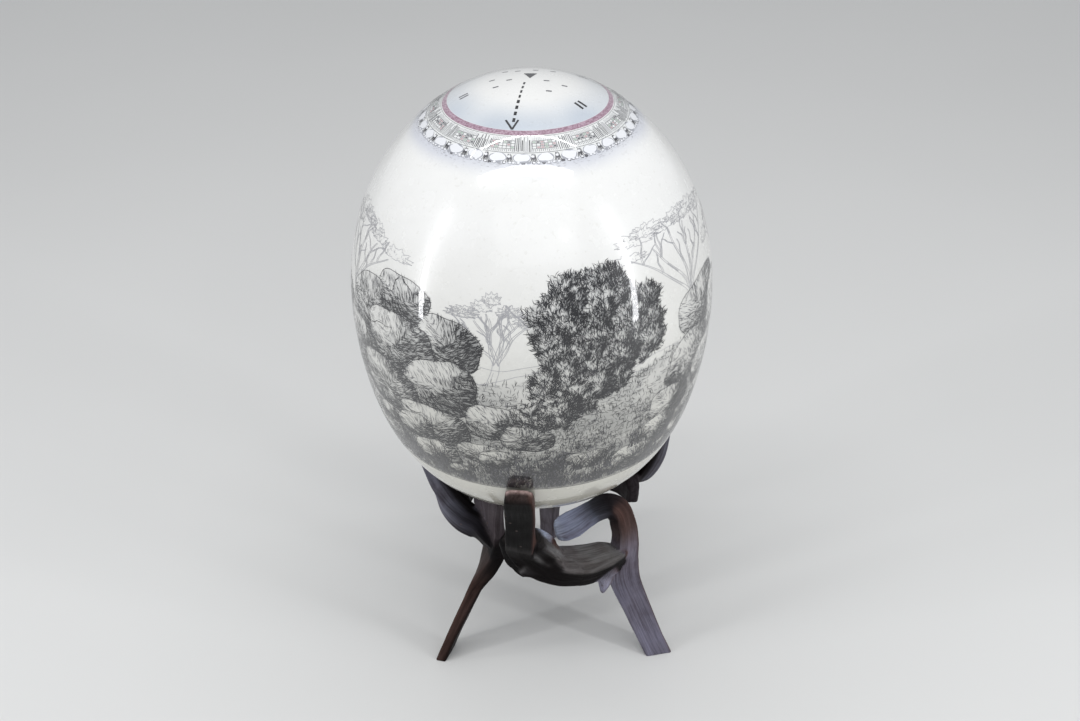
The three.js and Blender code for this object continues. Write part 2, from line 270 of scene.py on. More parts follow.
def build_layers():
    """Blobs from the farthest to the nearest."""
    out = []
    rocks = [  # two piles of boulders and some slabs
        (-47, 24, 13.0, 8.0, -6), (-66, 15, 13.0, 11.0, 14), (-29, 14, 12.0, 9.5, -12), (-49, 8, 15.5, 11.5, 8),
        (-74, -4, 13.5, 12.5, -10), (-32, -3, 15.0, 10.5, 6), (-56, -11, 15.5, 11.0, -5), (-37, -20, 14.0, 9.0, 4), (-14, -13, 10.0, 7.0, -4),
        (70, 12, 15.5, 10.0, 10), (88, 4, 14.0, 11.0, -12), (62, -5, 14.0, 10.0, -6), (79, -12, 14.5, 9.5, 8), (52, -19, 11.0, 7.5, -5),
        (160, 12, 14.0, 9.0, 8), (178, 0, 13.0, 10.0, -10), (149, -4, 12.0, 9.0, 5), (165, -12, 15.0, 9.0, -4),
        (-128, 2, 12.0, 8.0, 12), (-141, -8, 13.0, 9.0, -8), (-120, -11, 12.0, 8.0, 6),
    ]
    thickets = [(22, 18, 24, 24, 5), (12, 0, 12, 12, 31), (-98, 6, 15, 15, 8), (122, 10, 19, 21, 12), (-165, 12, 21, 22, 17), (4, -8, 9, 7, 23)]
    items = []
    for i, (cx, cy, rx, ry, rot) in enumerate(rocks):
        items.append((1000 - cy * 1.0 + (0 if cx > 0 else 0), Blob("rock", cx, cy, rx, ry, rot, i)))
    for cx, cy, rx, ry, seed in thickets:
        g = np.random.default_rng(seed)
        leaves = []
        count = max(12, int(rx * ry / 3.9))
        for _ in range(count):
            th, rho = g.random() * 6.283, math.sqrt(g.random()) * 0.86
            x, y = cx + rx * rho * math.cos(th), cy + ry * rho * math.sin(th)
            size = (2.3 + 2.9 * g.random()) * min(1, rx / 20 + 0.3)
            leaves.append((y, x, size))
        for y, x, size in sorted(leaves, reverse=True):
            items.append((1000 - (cy - ry * 0.6) + (cy - y) * 0.02, Blob("leaf", x, y, size * 1.15, size * 0.95, 0, seed + int(x * 7) % 90)))
    items.sort(key=lambda q: q[0])
    out += [b for _, b in items]
    g = np.random.default_rng(77)
    near = []
    for i in range(46):  # stones on the near ground
        x = -CIRC / 2 + CIRC * (i + g.random() * 0.8) / 46
        y = -40 + 22 * g.random()
        size = 3.2 + 4.6 * g.random() ** 1.4
        near.append((y, x, size, g.random() * 24 - 12, i))
    for y, x, size, rot, i in sorted(near, reverse=True):
        out.append(Blob("rock", x, y, size * 1.35, size * 0.85, rot, 30 + i, 0.95))
    return out


LAYERS = build_layers()


def ground_tone(x, y):
    g = ground(x)
    depth = np.clip((g - y) / (g - BOTTOM), 0, 1)
    t = 0.22 + 0.62 * depth**0.7 + 0.75 * (fbm(x, y * 1.6, 8.0, 7) - 0.5)
    t = np.where(y > g, 0, t)
    return np.clip(t, 0, 0.92) * smooth(BOTTOM - 0.2, BOTTOM + 0.6, y)


def soft_tone(x, y):
    """The washed undertone under the strokes, 0 to 1."""
    t = ground_tone(x, y) * 0.80
    hill = 3 + 5 * np.sin(x / EGG_R * 3 + 1.3) + 3 * np.sin(x / EGG_R * 7 + 0.4)
    t = np.maximum(t, 0.13 * smooth(hill + 14, hill - 8, y) * (y > ground(x)))
    for b in LAYERS:
        d = b.depth(x, y)
        inside = smooth(1.04, 0.96, d)
        t = t * (1 - inside) + inside * b.tone(x, y) * (0.80 if b.kind == "leaf" else 0.74)
    return np.clip(t, 0, 1)


class Ink:
    def __init__(self):
        self.batches = []

    def add(self, pts, width, mat):
        """pts (N, K, 2) of x, s; width (N, K) or (N, 1) in mm; mat (N,)."""
        pts = np.asarray(pts, float)
        if len(pts):
            n, k = pts.shape[:2]
            self.batches.append((pts, np.broadcast_to(np.asarray(width, float), (n, k)), np.broadcast_to(mat, n)))

    def mesh(self, name, mats, off, pick=None):
        verts, normals, quads, fm, base = [], [], [], [], 0
        for pts, width, mat in self.batches:
            if pick is not None:
                keep = pick(wrap(pts[:, pts.shape[1] // 2, 0]))
                pts, width, mat = pts[keep], width[keep], mat[keep]
            if not len(pts):
                continue
            n, k = pts.shape[:2]
            p, nor = shell(pts[..., 0], pts[..., 1], off)
            t = np.gradient(p, axis=1)
            t /= np.linalg.norm(t, axis=2, keepdims=True) + 1e-12
            side = np.cross(nor, t) * width[..., None] / 2
            v = np.stack([p - side, p + side], 2).reshape(-1, 3)
            verts.append(v)
            normals.append(np.repeat(nor.reshape(-1, 3), 2, 0))
            i = np.arange(n * k).reshape(n, k)
            a, b = i[:, :-1].ravel() * 2 + base, i[:, 1:].ravel() * 2 + base
            quads.append(np.stack([a, b, b + 1, a + 1], 1))
            fm.append(np.repeat(mat, k - 1))
            base += n * k * 2
        verts = np.concatenate(verts) * MM
        o = add_object(name, verts, np.concatenate(quads), mats, np.concatenate(fm), np.concatenate(normals))
        return o


def strokes(x, y, ang, length, width, bend=0.0, taper=0.25):
    """Three-point strokes centred on x, y."""
    dx, dy = np.cos(ang) * length / 2, np.sin(ang) * length / 2
    px, py = -np.sin(ang) * bend * length, np.cos(ang) * bend * length
    pts = np.stack([np.stack([x - dx, y - dy], 1), np.stack([x + px, y + py], 1), np.stack([x + dx, y + dy], 1)], 1)
    w = np.stack([width * taper, width, width * taper], 1)
    return pts, w


def hidden(x, y, start):
    """Whether a nearer blob covers the point."""
    h = np.zeros(len(x), bool)
    for b in LAYERS[start:]:
        near = np.abs(wrap(x - b.cx)) < b.rx * 1.35 + 1
        if near.any():
            h[near] |= b.depth(x[near], y[near]) < 0.99
    return h


BLACK, DARK, GREY, PALE = 0, 1, 2, 3


def draw():
    ink = Ink()
    g = np.random.default_rng(5)
    for i, b in enumerate(LAYERS):
        area = math.pi * b.rx * b.ry
        if b.kind == "rock":
            n = int(area * 6.5)
            x, y = b.cx + (g.random(n) * 2 - 1) * b.rx * 1.2, b.cy + (g.random(n) * 2 - 1) * b.ry * 1.25
            t = b.tone(x, y)
            ok = (b.depth(x, y) < 1.0) & (g.random(n) < t * 1.0) & (y > BOTTOM)
            x, y, t = x[ok], y[ok], t[ok]
            keep = ~hidden(x, y, i + 1)
            x, y, t = x[keep], y[keep], t[keep]
            u, v = b.local(x, y)
            around = np.arctan2(v, u) + math.pi / 2
            cross = g.random(len(x)) < smooth(0.5, 0.9, t) * 0.5
            base = -0.95 + 0.35 * np.sin(b.ph[0])
            ang = np.where(cross, base + 1.25, np.arctan2(np.sin(around) * 0.55 + math.sin(base) * 0.6 * np.sign(np.sin(around - base) + 1e-6), np.cos(around) * 0.55 + math.cos(base) * 0.6))
            ang = ang + g.normal(0, 0.16, len(x))
            length = (1.3 + 1.5 * g.random(len(x))) * (0.8 if b.rx < 8 else 1.0)
            width = 0.12 + 0.20 * t * (0.5 + 0.5 * g.random(len(x)))
            pts, w = strokes(x, y, ang, length, width, g.normal(0, 0.07, len(x)))
            ink.add(pts, w, np.where(t > 0.62, BLACK, np.where(t > 0.36, DARK, GREY)))
            # outline, heavier on the side away from the light
            th = np.linspace(0, 2 * math.pi, 61)
            e = b.edge(th)
            lu, lv = np.cos(th) * e * b.rx, np.sin(th) * e * b.ry
            ox, oy = b.cx + lu * b.c - lv * b.s, b.cy + lu * b.s + lv * b.c
            ox += 0.25 * (vnoise(th * 9, th, 2.0, i) - 0.5)
            vis = (~hidden(ox, oy, i + 1)) & (oy > BOTTOM)
            heavy = 0.20 + 0.26 * np.clip(np.cos(th + math.radians(0) + 0.9), 0, 1)
            for k in range(60):
                if vis[k] and vis[k + 1]:
                    ink.add([[[ox[k], oy[k]], [(ox[k] + ox[k + 1]) / 2, (oy[k] + oy[k + 1]) / 2], [ox[k + 1], oy[k + 1]]]], [[heavy[k]] * 3], [BLACK if heavy[k] > 0.26 else DARK])
            for _ in range(int(1 + b.rx / 5)):  # cracks
                th0, rho = g.random() * 6.28, 0.9
                cx, cy = b.cx + b.rx * rho * math.cos(th0), b.cy + b.ry * rho * math.sin(th0)
                a0 = th0 + math.pi + g.normal(0, 0.5)
                line = [(cx, cy)]
                for _ in range(int(4 + b.rx * 0.7)):
                    a0 += g.normal(0, 0.42)
                    line.append((line[-1][0] + math.cos(a0) * 0.9, line[-1][1] + math.sin(a0) * 0.9))
                line = np.array(line)
                ok = (b.depth(line[:, 0], line[:, 1]) < 1) & ~hidden(line[:, 0], line[:, 1], i + 1) & (line[:, 1] > BOTTOM)
                if ok.all():
                    w = np.linspace(0.34, 0.08, len(line))
                    ink.add([line], [w], [BLACK])
        else:
            n = int(area * 11.0)
            x, y = b.cx + (g.random(n) * 2 - 1) * b.rx * 1.3, b.cy + (g.random(n) * 2 - 1) * b.ry * 1.3
            t = b.tone(x, y)
            ok = (b.depth(x, y) < 1.0 + 0.30 * g.random(n) ** 2) & (g.random(n) < t * 1.05)
            x, y, t = x[ok], y[ok], t[ok]
            keep = ~hidden(x, y, i + 1)
            x, y, t = x[keep], y[keep], t[keep]
            out = np.arctan2(y - (b.cy - b.ry * 0.7), x - b.cx)
            ang = out + g.normal(0, 0.5, len(x))
            length = 1.0 + 1.5 * g.random(len(x)) * (0.6 + 0.6 * (b.depth(x, y) > 0.8))
            width = 0.17 + 0.20 * g.random(len(x)) * t
            pts, w = strokes(x, y, ang, length, width, g.normal(0, 0.12, len(x)))
            ink.add(pts, w, np.where(t > 0.55, BLACK, DARK))
    # near and middle ground: grass
    n = 80000
    x = (g.random(n) - 0.5) * CIRC
    y = BOTTOM + (g.random(n) ** 1.05) * 54
    t = ground_tone(x, y)
    tuft = smooth(0.40, 0.62, fbm(x, y * 0.5, 6.5, 21))
    ok = (g.random(n) < t * (0.45 + 0.75 * tuft)) & (y < ground(x) + 0.5)
    x, y, t, tuft = x[ok], y[ok], t[ok], tuft[ok]
    keep = ~hidden(x, y, 0)
    x, y, t, tuft = x[keep], y[keep], t[keep], tuft[keep]
    near = smooth(-22, -42, y)
    length = (1.2 + 1.3 * g.random(len(x))) + near * tuft * 3.4 * g.random(len(x))
    lean = math.pi / 2 + g.normal(0, 0.42, len(x)) + 0.35 * (fbm(x, y, 16.0, 33) - 0.5) * 2
    flat = g.random(len(x)) < 0.35 * (1 - near)
    lean = np.where(flat, g.normal(0, 0.15, len(x)), lean)
    yc = np.maximum(y + np.abs(np.sin(lean)) * length / 2, BOTTOM + np.abs(np.sin(lean)) * length / 2)
    width = 0.13 + 0.18 * g.random(len(x)) * (0.5 + near)
    pts, w = strokes(x, yc, lean, length, width, g.normal(0, 0.10, len(x)), 0.2)
    ink.add(pts, w, np.where(g.random(len(x)) < 0.25 + 0.5 * t, BLACK, np.where(g.random(len(x)) < 0.6, DARK, GREY)))
    # tall blades in tufts that overlap stones and boulders
    for cx in np.concatenate([np.linspace(-CIRC / 2, CIRC / 2, 74)[:-1] + g.normal(0, 1.8, 73), g.random(34) * CIRC]):
        cy = BOTTOM + 0.6 + 14 * g.random() ** 1.5
        m_ = int(15 + 15 * g.random())
        tall = 5.5 + 5.5 * g.random()
        fan = g.normal(0, 0.30, m_)
        root = cx + g.normal(0, 1.2, m_)
        l = tall * (0.45 + 0.6 * g.random(m_))
        tt = np.linspace(0, 1, 5)[None]
        lean = fan[:, None] * (0.5 + 1.1 * tt)
        px = root[:, None] + l[:, None] * tt * np.sin(lean)
        py = cy + l[:, None] * tt * np.cos(lean)
        w = (0.24 + 0.12 * g.random(m_))[:, None] * (1 - 0.8 * tt)
        ink.add(np.stack([px, py], 2), w, np.where(g.random(m_) < 0.65, BLACK, DARK))
    # the line that closes the drawing at the bottom
    xs = np.linspace(-CIRC / 2, CIRC / 2, 241)
    for k in range(240):
        ink.add([[[xs[k], BOTTOM], [(xs[k] + xs[k + 1]) / 2, BOTTOM + 0.04], [xs[k + 1], BOTTOM]]], [[0.3, 0.34, 0.3]], [DARK])
    faint(ink, g)
    return ink


def clear(line):
    """The parts of a line that no blob and no ground covers."""
    ok = ~hidden(line[:, 0], line[:, 1], 0) & (line[:, 1] > ground(line[:, 0]) - 1)
    parts, run = [], []
    for p, o in zip(line, ok):
        if o:
            run.append(p)
        elif len(run) > 1:
            parts.append(np.array(run))
            run = []
        else:
            run = []
    if len(run) > 1:
        parts.append(np.array(run))
    return parts


def faint(ink, g):
    """Far things in thin pale lines: hills and flat-topped trees."""
    def line(pts, w, mat=PALE):
        for part in clear(np.array(pts, float)):
            ink.add([part], [np.full(len(part), w)], [mat])

    x = np.linspace(-CIRC / 2, CIRC / 2, 500)
    for k, (lift, amp) in enumerate(((2.0, 5.0), (6.5, 3.5))):
        y = lift + amp * np.sin(x / EGG_R * (3 + k) + 1.3 + k) + 2.0 * np.sin(x / EGG_R * (7 + 4 * k) + 0.4) + 0.5 * (vnoise(x, x * 0, 3.0, 3 + k) - 0.5)
        line(np.stack([x, y], 1), 0.16)
    for bx, base, top, spread, seed in ((-76, -2, 43, 27, 1), (62, 2, 47, 33, 2), (104, -2, 36, 22, 3), (-150, 0, 40, 26, 4), (188, -2, 44, 26, 5), (-14, -6, 31, 15, 6)):
        t = np.random.default_rng(900 + seed)
        fork = base + (top - base) * (0.34 + 0.1 * t.random())
        lean = t.normal(0, 3.0)

        def limb(x0, y0, x1, y1, w0, w1, wob):
            s = np.linspace(0, 1, 15)
            cx = x0 + (x1 - x0) * s**1.25 + wob * np.sin(s * 5 + t.random() * 6) * s * (1 - s) * 2
            cy = y0 + (y1 - y0) * s**0.85
            h = (w0 + (w1 - w0) * s) / 2
            line(np.stack([cx - h, cy], 1), 0.17)
            line(np.stack([cx + h, cy], 1), 0.17)
            for _ in range(3):
                k = t.integers(2, 11)
                f = t.random() * 1.4 - 0.7
                line(np.stack([cx + h * f, cy], 1)[k : k + 4], 0.12)
            return cx, cy

        limb(bx, base, bx + lean, fork, 3.6, 2.2, 1.2)
        for q in range(6):
            e = (q - 2.5) / 2.5
            ex, ey = bx + lean + e * spread * 0.8, top - 3 - 3.5 * abs(e) - 3 * t.random()
            cx, cy = limb(bx + lean, fork - 0.5, ex, ey, 1.5, 0.5, 2.4)
            for _ in range(3):
                k = t.integers(6, 13)
                limb(cx[k], cy[k], cx[k] + t.normal(0, 5), min(top - 1, cy[k] + 4 + 5 * t.random()), 0.7, 0.3, 1.5)
        for q in range(9):  # flat crowns, an open wavering outline each
            e = (q - 4) / 4
            cx, cy = bx + lean + e * spread * 0.85 + t.normal(0, 2), top - 5 * abs(e) ** 1.6 - 3.5 * t.random()
            rx, ry = spread * (0.20 + 0.14 * t.random()), 1.7 + 1.5 * t.random()
            th = np.linspace(0.1, 6.1, 90)
            k = 1 + 0.16 * np.sin(11 * th + t.random() * 6) + 0.12 * np.sin(23 * th + t.random() * 6)
            flat = np.where(np.sin(th) < 0, 0.45, 1.0)
            line(np.stack([cx + rx * np.cos(th) * k, cy + ry * np.sin(th) * k * flat], 1), 0.16)
            n = 26
            px, py = cx + rx * 0.85 * (t.random(n) * 2 - 1), cy + ry * 0.6 * (t.random(n) * 1.6 - 0.6)
            ok = ~hidden(px, py, 0)
            pts, w = strokes(px[ok], py[ok], t.random(ok.sum()) * 3.1, 0.7 + 0.8 * t.random(ok.sum()), np.full(ok.sum(), 0.14), 0.2)
            ink.add(pts, w, PALE)


# ---------------------------------------------------------------- shell material
def lacquer(bsdf):
    bsdf.inputs["IOR"].default_value = 1.5
    bsdf.inputs["Coat Weight"].default_value = 1.0
    bsdf.inputs["Coat Roughness"].default_value = 0.035
    bsdf.inputs["Coat IOR"].default_value = 1.5


shell_mat, nt, bsdf = material("lacquered_shell")
lacquer(bsdf)
geo = node(nt, "ShaderNodeTexCoord").outputs["Object"]
tint = node(nt, "ShaderNodeAttribute", attribute_name="tint")
cloud = noise(nt, geo, 26, 5, 0.6)
body = ramp(nt, cloud, [(0.3, (0.835, 0.832, 0.812)), (0.7, (0.895, 0.894, 0.878))])
sep = node(nt, "ShaderNodeSeparateXYZ")
nt.links.new(geo, sep.inputs[0])
# painted shade: the shell is multiplied darker and creamier towards the bottom
low = remap(nt, sep.outputs["Z"], 0.080, 0.20, 0.0, 1.0)
body = mix(nt, low, mix(nt, 1.0, body, (0.60, 0.58, 0.49), "MULTIPLY"), body)
pores = noise(nt, geo, 620, 2, 0.5)
body = mix(nt, remap(nt, pores, 0.30, 0.36, 0.16, 0.0), body, (0.55, 0.53, 0.47))
paper = noise(nt, geo, 1500, 3, 0.6)
body = mix(nt, remap(nt, paper, 0.35, 0.7, 0.0, 0.06), body, (0.6, 0.6, 0.58))
nt.links.new(mix(nt, 1.0, body, tint.outputs["Color"], "MULTIPLY"), bsdf.inputs["Base Color"])
nt.links.new(remap(nt, noise(nt, geo, 160, 3), 0.3, 0.7, 0.20, 0.30), bsdf.inputs["Roughness"])
peel = noise(nt, geo, 55, 2, 0.45)
nrm = bump(nt, peel, 0.10, 0.0006)
nrm = bump(nt, pores, 0.05, 0.00008, nrm)
nt.links.new(nrm, bsdf.inputs["Normal"])
nt.links.new(bump(nt, peel, 0.08, 0.0006), bsdf.inputs["Coat Normal"])


def flat_ink(name, rgb, rough=0.3):
    mat, nt, bsdf = material(name)
    lacquer(bsdf)
    bsdf.inputs["Base Color"].default_value = (*rgb, 1)
    geo = node(nt, "ShaderNodeTexCoord").outputs["Object"]
    peel = noise(nt, geo, 55, 2, 0.45)
    nt.links.new(remap(nt, noise(nt, geo, 900, 2), 0.3, 0.7, rough, rough + 0.15), bsdf.inputs["Roughness"])
    nt.links.new(bump(nt, peel, 0.08, 0.0006), bsdf.inputs["Coat Normal"])
    return mat


INKS = [
    flat_ink("ink_black", (0.010, 0.010, 0.013)),
    flat_ink("ink_dark", (0.030, 0.030, 0.036)),
    flat_ink("ink_grey", (0.10, 0.10, 0.115)),
    flat_ink("ink_pale", (0.40, 0.40, 0.42)),
]

# ---------------------------------------------------------------- shell mesh
RINGS, SIDES = 210, 448
s_lo, s_hi = PS[0], PS[-1]
sv = np.linspace(s_lo, s_hi, RINGS + 1)[1:-1]
xv = (np.arange(SIDES) / SIDES - 0.5) * CIRC
X, S = np.meshgrid(xv, sv)
P, N = shell(X.ravel(), S.ravel())
poles = np.array([[0, 0, EGG_Z + PZ[0]], [0, 0, EGG_Z + PZ[-1]]])
verts = np.concatenate([P, poles])
nor = np.concatenate([N, [[0, 0, -1], [0, 0, 1]]])
idx = np.arange((RINGS - 1) * SIDES).reshape(RINGS - 1, SIDES)
nxt = np.roll(idx, -1, 1)
faces = np.stack([idx[:-1], nxt[:-1], nxt[1:], idx[1:]], -1).reshape(-1, 4).tolist()
nb, ntop = len(P), len(P) + 1
faces += [[int(nxt[0, i]), int(idx[0, i]), nb] for i in range(SIDES)]
faces += [[int(idx[-1, i]), int(nxt[-1, i]), ntop] for i in range(SIDES)]
egg = add_object("egg_shell", verts * MM, faces, [shell_mat], None, nor)

xs_, ss_ = np.concatenate([X.ravel(), [0, 0]]), np.concatenate([S.ravel(), [s_lo, s_hi]])
tone = soft_tone(xs_, ss_)
tone = np.where((ss_ < BOTTOM) | (ss_ > 62), 0, tone)
col = np.ones((len(xs_), 3))
col *= (1 - 0.86 * tone)[:, None] ** np.array([1.02, 1.0, 0.96])
# painted shade: cool shading inside the ring, strongest near the ring and on the front, brighter in the middle of the
# cap
r_cap = np.interp(ss_, PS, PR)
az = xs_ / EGG_R
inside = smooth(84.6, 85.2, ss_)
shade = inside * smooth(13, 26, r_cap) * (0.62 + 0.38 * np.cos(az - 0.0)) * (0.75 + 0.5 * vnoise(xs_, ss_, 24, 4))
col *= 1 - np.clip(shade, 0, 1)[:, None] * np.array([0.36, 0.30, 0.21])
# painted shadow: a cool shade outside the beaded border, below it on the shell
border_shadow = smooth(65.0, 73.6, ss_) * (ss_ < 74.2) * (0.7 + 0.6 * vnoise(xs_, ss_, 30, 9))
col *= 1 - np.clip(border_shadow, 0, 1)[:, None] ** 1.8 * np.array([0.25, 0.23, 0.15])
collar = smooth(73.4, 74.0, ss_) * smooth(83.6, 83.0, ss_)
col *= 1 - collar[:, None] * np.array([0.07, 0.055, 0.045])
layer = egg.data.color_attributes.new("tint", "FLOAT_COLOR", "POINT")
layer.data.foreach_set("color", np.concatenate([np.clip(col, 0, 1), np.ones((len(col), 1))], 1).astype(np.float32).ravel())

uv = egg.data.uv_layers.new(name="OFBake")
loops = np.empty(len(egg.data.loops), np.int32)
egg.data.loops.foreach_get("vertex_index", loops)
u = np.where(loops < nb, (loops % SIDES) / SIDES, 0.0)
v = np.where(loops < nb, 0, 0.0)
v = (ss_[loops] - s_lo) / (s_hi - s_lo)
start = 0
uvs = np.stack([u, v], 1)
for poly in egg.data.polygons:
    a, k = poly.loop_start, poly.loop_total
    us = uvs[a : a + k, 0]
    real = loops[a : a + k] < nb
    if us[real].max() - us[real].min() > 0.5:
        us[real & (us < 0.5)] += 1.0
    if not real.all():
        us[~real] = us[real].mean()
uvs[:, 0] = uvs[:, 0] * 0.996 * SIDES / SIDES
uv.data.foreach_set("uv", (uvs * [0.995, 0.996] + [0.002, 0.002]).astype(np.float32).ravel())

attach(egg, "root")
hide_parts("egg")

# ---------------------------------------------------------------- ink drawing
drawing = draw()
for k, name in enumerate(("ink_drawing_front", "ink_drawing_left", "ink_drawing_right")):
    third = CIRC / 6
    pick = (
        (lambda x: np.abs(x) <= third),
        (lambda x: x < -third),
        (lambda x: x > third),
    )[k]
    o = drawing.mesh(name, INKS, 0.035, pick)
    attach(o, "root")
    print(name, "triangles", sum(p.loop_total - 2 for p in o.data.polygons))

# ---------------------------------------------------------------- ornament round the cap
PINK, TPINK, TGREEN, BEAD, BGREY = 4, 5, 6, 7, 8
pink_mat, nt, bsdf = material("ring_pink")
lacquer(bsdf)
geo = node(nt, "ShaderNodeTexCoord").outputs["Object"]
nt.links.new(ramp(nt, noise(nt, geo, 1500, 2, 0.6), [(0.38, (0.27, 0.150, 0.205)), (0.62, (0.49, 0.35, 0.43))]), bsdf.inputs["Base Color"])
nt.links.new(remap(nt, noise(nt, geo, 900, 2), 0.3, 0.7, 0.3, 0.45), bsdf.inputs["Roughness"])
nt.links.new(bump(nt, noise(nt, geo, 1500, 2), 0.2, 0.0001), bsdf.inputs["Normal"])
CAP = INKS + [
    pink_mat,
    flat_ink("tint_pink", (0.55, 0.38, 0.40)),
    flat_ink("tint_green", (0.42, 0.52, 0.44)),
    flat_ink("bead_white", (0.83, 0.84, 0.87)),
    flat_ink("bead_grey", (0.36, 0.37, 0.41)),
]
cap = Ink()
low_cap = Ink()


def at(r, az_deg):
    """x, s of a point of the cap at this distance from the axis, in mm, and azimuth."""
    half = len(PR) // 2
    s = np.interp(-r, -PR[half:][PR[half:] <= 60.0], PS[half:][PR[half:] <= 60.0])
    return math.radians(az_deg) * EGG_R, float(s)


def on_cap(px, py):
    return at(math.hypot(px, py), math.degrees(math.atan2(px, -py)))


def chord(x0, y0, x1, y1, w, mat, steps=6, where=None):
    t = np.linspace(0, 1, steps)
    pts = [on_cap(x0 + (x1 - x0) * k, y0 + (y1 - y0) * k) for k in t]
    pts = np.array(pts)
    for k in range(1, len(pts)):
        pts[k, 0] = pts[k - 1, 0] + wrap(pts[k, 0] - pts[k - 1, 0])
    w = np.broadcast_to(np.asarray(w, float), (steps,)) if np.ndim(w) else np.full(steps, w)
    (where or cap).add([pts], [w], [mat])


def circle(s, w, mat, where, wob=0.0, n=180):
    x = np.linspace(-CIRC / 2, CIRC / 2, n + 1)
    for k in range(n):
        seg = np.linspace(x[k], x[k + 1], 3)
        where.add([np.stack([seg, s + wob * (vnoise(seg, seg * 0, 3.0, 8) - 0.5)], 1)], [[w] * 3], [mat])


circle(84.2, 1.80, PINK, low_cap)
circle(77.15, 0.14, GREY, cap)
circle(82.9, 0.12, GREY, cap)
g = np.random.default_rng(3)
patches = [(-40, 7.5), (-15, 7.0), (9, 7.0), (34, 7.5), (62, 7.0), (92, 7.5), (122, 7.0), (150, 7.5), (178, 7.0), (-150, 7.5), (-122, 7.0), (-94, 7.5), (-67, 7.0)]


def in_patch(a):
    return any(abs((a - c + 180) % 360 - 180) < w for c, w in patches)


RIBS = 340
for k in range(RIBS):
    a = -180 + 360 * (k + 0.5) / RIBS
    x = math.radians(a) * EGG_R
    top, foot = 82.7 - 0.5 * g.random(), 77.4 + 0.4 * g.random()
    if in_patch(a):
        # short ribs above and below a small grid
        cap.add([[[x, top], [x, 81.9], [x, 81.4]]], [[0.13] * 3], [PALE])
        cap.add([[[x, foot], [x, 77.8], [x, 78.3]]], [[0.13] * 3], [GREY])
    else:
        shift = g.normal(0, 0.14)
        wid = 0.15 + 0.17 * g.random()
        top = top if g.random() < 0.5 else top - 2.2 * g.random()
        cap.add([[[x, foot], [x + shift, (top + foot) / 2], [x, top]]], [[wid] * 3], [(DARK, DARK, GREY, GREY, PALE)[int(g.integers(0, 5))]])
for c, w in patches:
    cols, rows = 6, 3
    for i in range(cols + 1):
        x = math.radians(c - w + 2 * w * i / cols) * EGG_R
        cap.add([[[x, 78.5], [x, 79.9], [x, 81.3]]], [[0.14] * 3], [GREY])
    for j in range(rows + 1):
        s = 78.5 + 2.8 * j / rows
        x = np.linspace(math.radians(c - w) * EGG_R, math.radians(c + w) * EGG_R, 7)
        cap.add([np.stack([x, np.full(7, s)], 1)], [[0.13] * 7], [GREY])
    for i in range(cols):
        for j in range(rows):
            if g.random() < 0.55:
                x0 = math.radians(c - w + 2 * w * (i + 0.5) / cols) * EGG_R
                s0 = 78.5 + 2.8 * (j + 0.5) / rows
                half = math.radians(2 * w / cols * 0.32) * EGG_R
                cap.add([[[x0 - half, s0], [x0, s0], [x0 + half, s0]]], [[0.5] * 3], [(TPINK, TGREEN, GREY)[int(g.integers(0, 3))]])


def disc(x, s, rx, rs, mat, where, rough=0.0):
    """A filled oval lying on the shell; rx in mm of true width."""
    r = float(np.interp(s, PS, PR))
    k = EGG_R / r
    m_ = 15
    t = -np.cos(np.linspace(0, math.pi, m_))
    p0, p1 = g.random(2) * 6.28
    up_ = rs * np.sqrt(np.clip(1 - t * t, 0.003, 1)) * (1 + rough * np.sin(4.1 * t + p0))
    dn_ = rs * np.sqrt(np.clip(1 - t * t, 0.003, 1)) * (1 + rough * np.sin(3.3 * t + p1))
    where.add([np.stack([x + t * rx * k, s + (up_ - dn_) / 2], 1)], [up_ + dn_], [mat])


BEADS = 29
for k in range(BEADS):
    a = -177.6 + 360 * k / BEADS
    x = math.radians(a) * EGG_R
    kx = EGG_R / 34.2  # from true mm to mm of equator
    grow = 0.92 + 0.16 * g.random()
    disc(x, 75.35, 2.75 * grow, 1.62, BGREY, low_cap, 0.10)
    disc(x + 0.15 * kx * (g.random() - 0.5), 75.45, 2.42 * grow, 1.38, BEAD, cap, 0.16)
    for _ in range(5):  # a little shading on the bead's lower side
        q = g.random() * 2.6 - 1.3
        cap.add([[[x + q * kx, 74.5], [x + (q + 0.2) * kx, 74.8], [x + (q + 0.5) * kx, 74.9]]], [[0.10] * 3], [PALE])
    b = x + math.pi * EGG_R / BEADS
    for q in np.linspace(-0.8, 0.8, 9):  # the gap between two beads
        j = g.normal(0, 0.12)
        cap.add([[[b + (q * 1.25 + j) * kx, 73.9 + 0.3 * g.random()], [b + q * 0.9 * kx, 75.2], [b + (q * 0.7 - j) * kx, 76.4 + 0.5 * g.random()]]], [[0.12, 0.18, 0.12]], [(DARK, GREY, GREY)[int(g.integers(0, 3))]])
    disc(b + (g.random() - 0.5) * 0.6 * kx, 75.9, 0.50, 0.42, BEAD, cap)
for k in range(BEADS * 5):  # small grey beads along the outer edge
    x = (k + 0.35 * (g.random() - 0.5)) / (BEADS * 5) * CIRC
    s0 = 73.75 + 0.18 * (g.random() - 0.5)
    disc(x, s0, 0.66, 0.50, (BGREY, BGREY, GREY)[int(g.integers(0, 3))], low_cap, 0.2)
    if g.random() < 0.75:
        disc(x, s0 + 0.03, 0.46, 0.32, BEAD, cap)
# strokes fading away below the border
n = 420
x = (g.random(n) - 0.5) * CIRC
s = 73.4 - 1.6 * g.random(n) ** 1.8
pts, w = strokes(x, s, g.normal(0, 0.12, n), 1.2 + g.random(n), np.full(n, 0.11))
cap.add(pts, w, PALE)

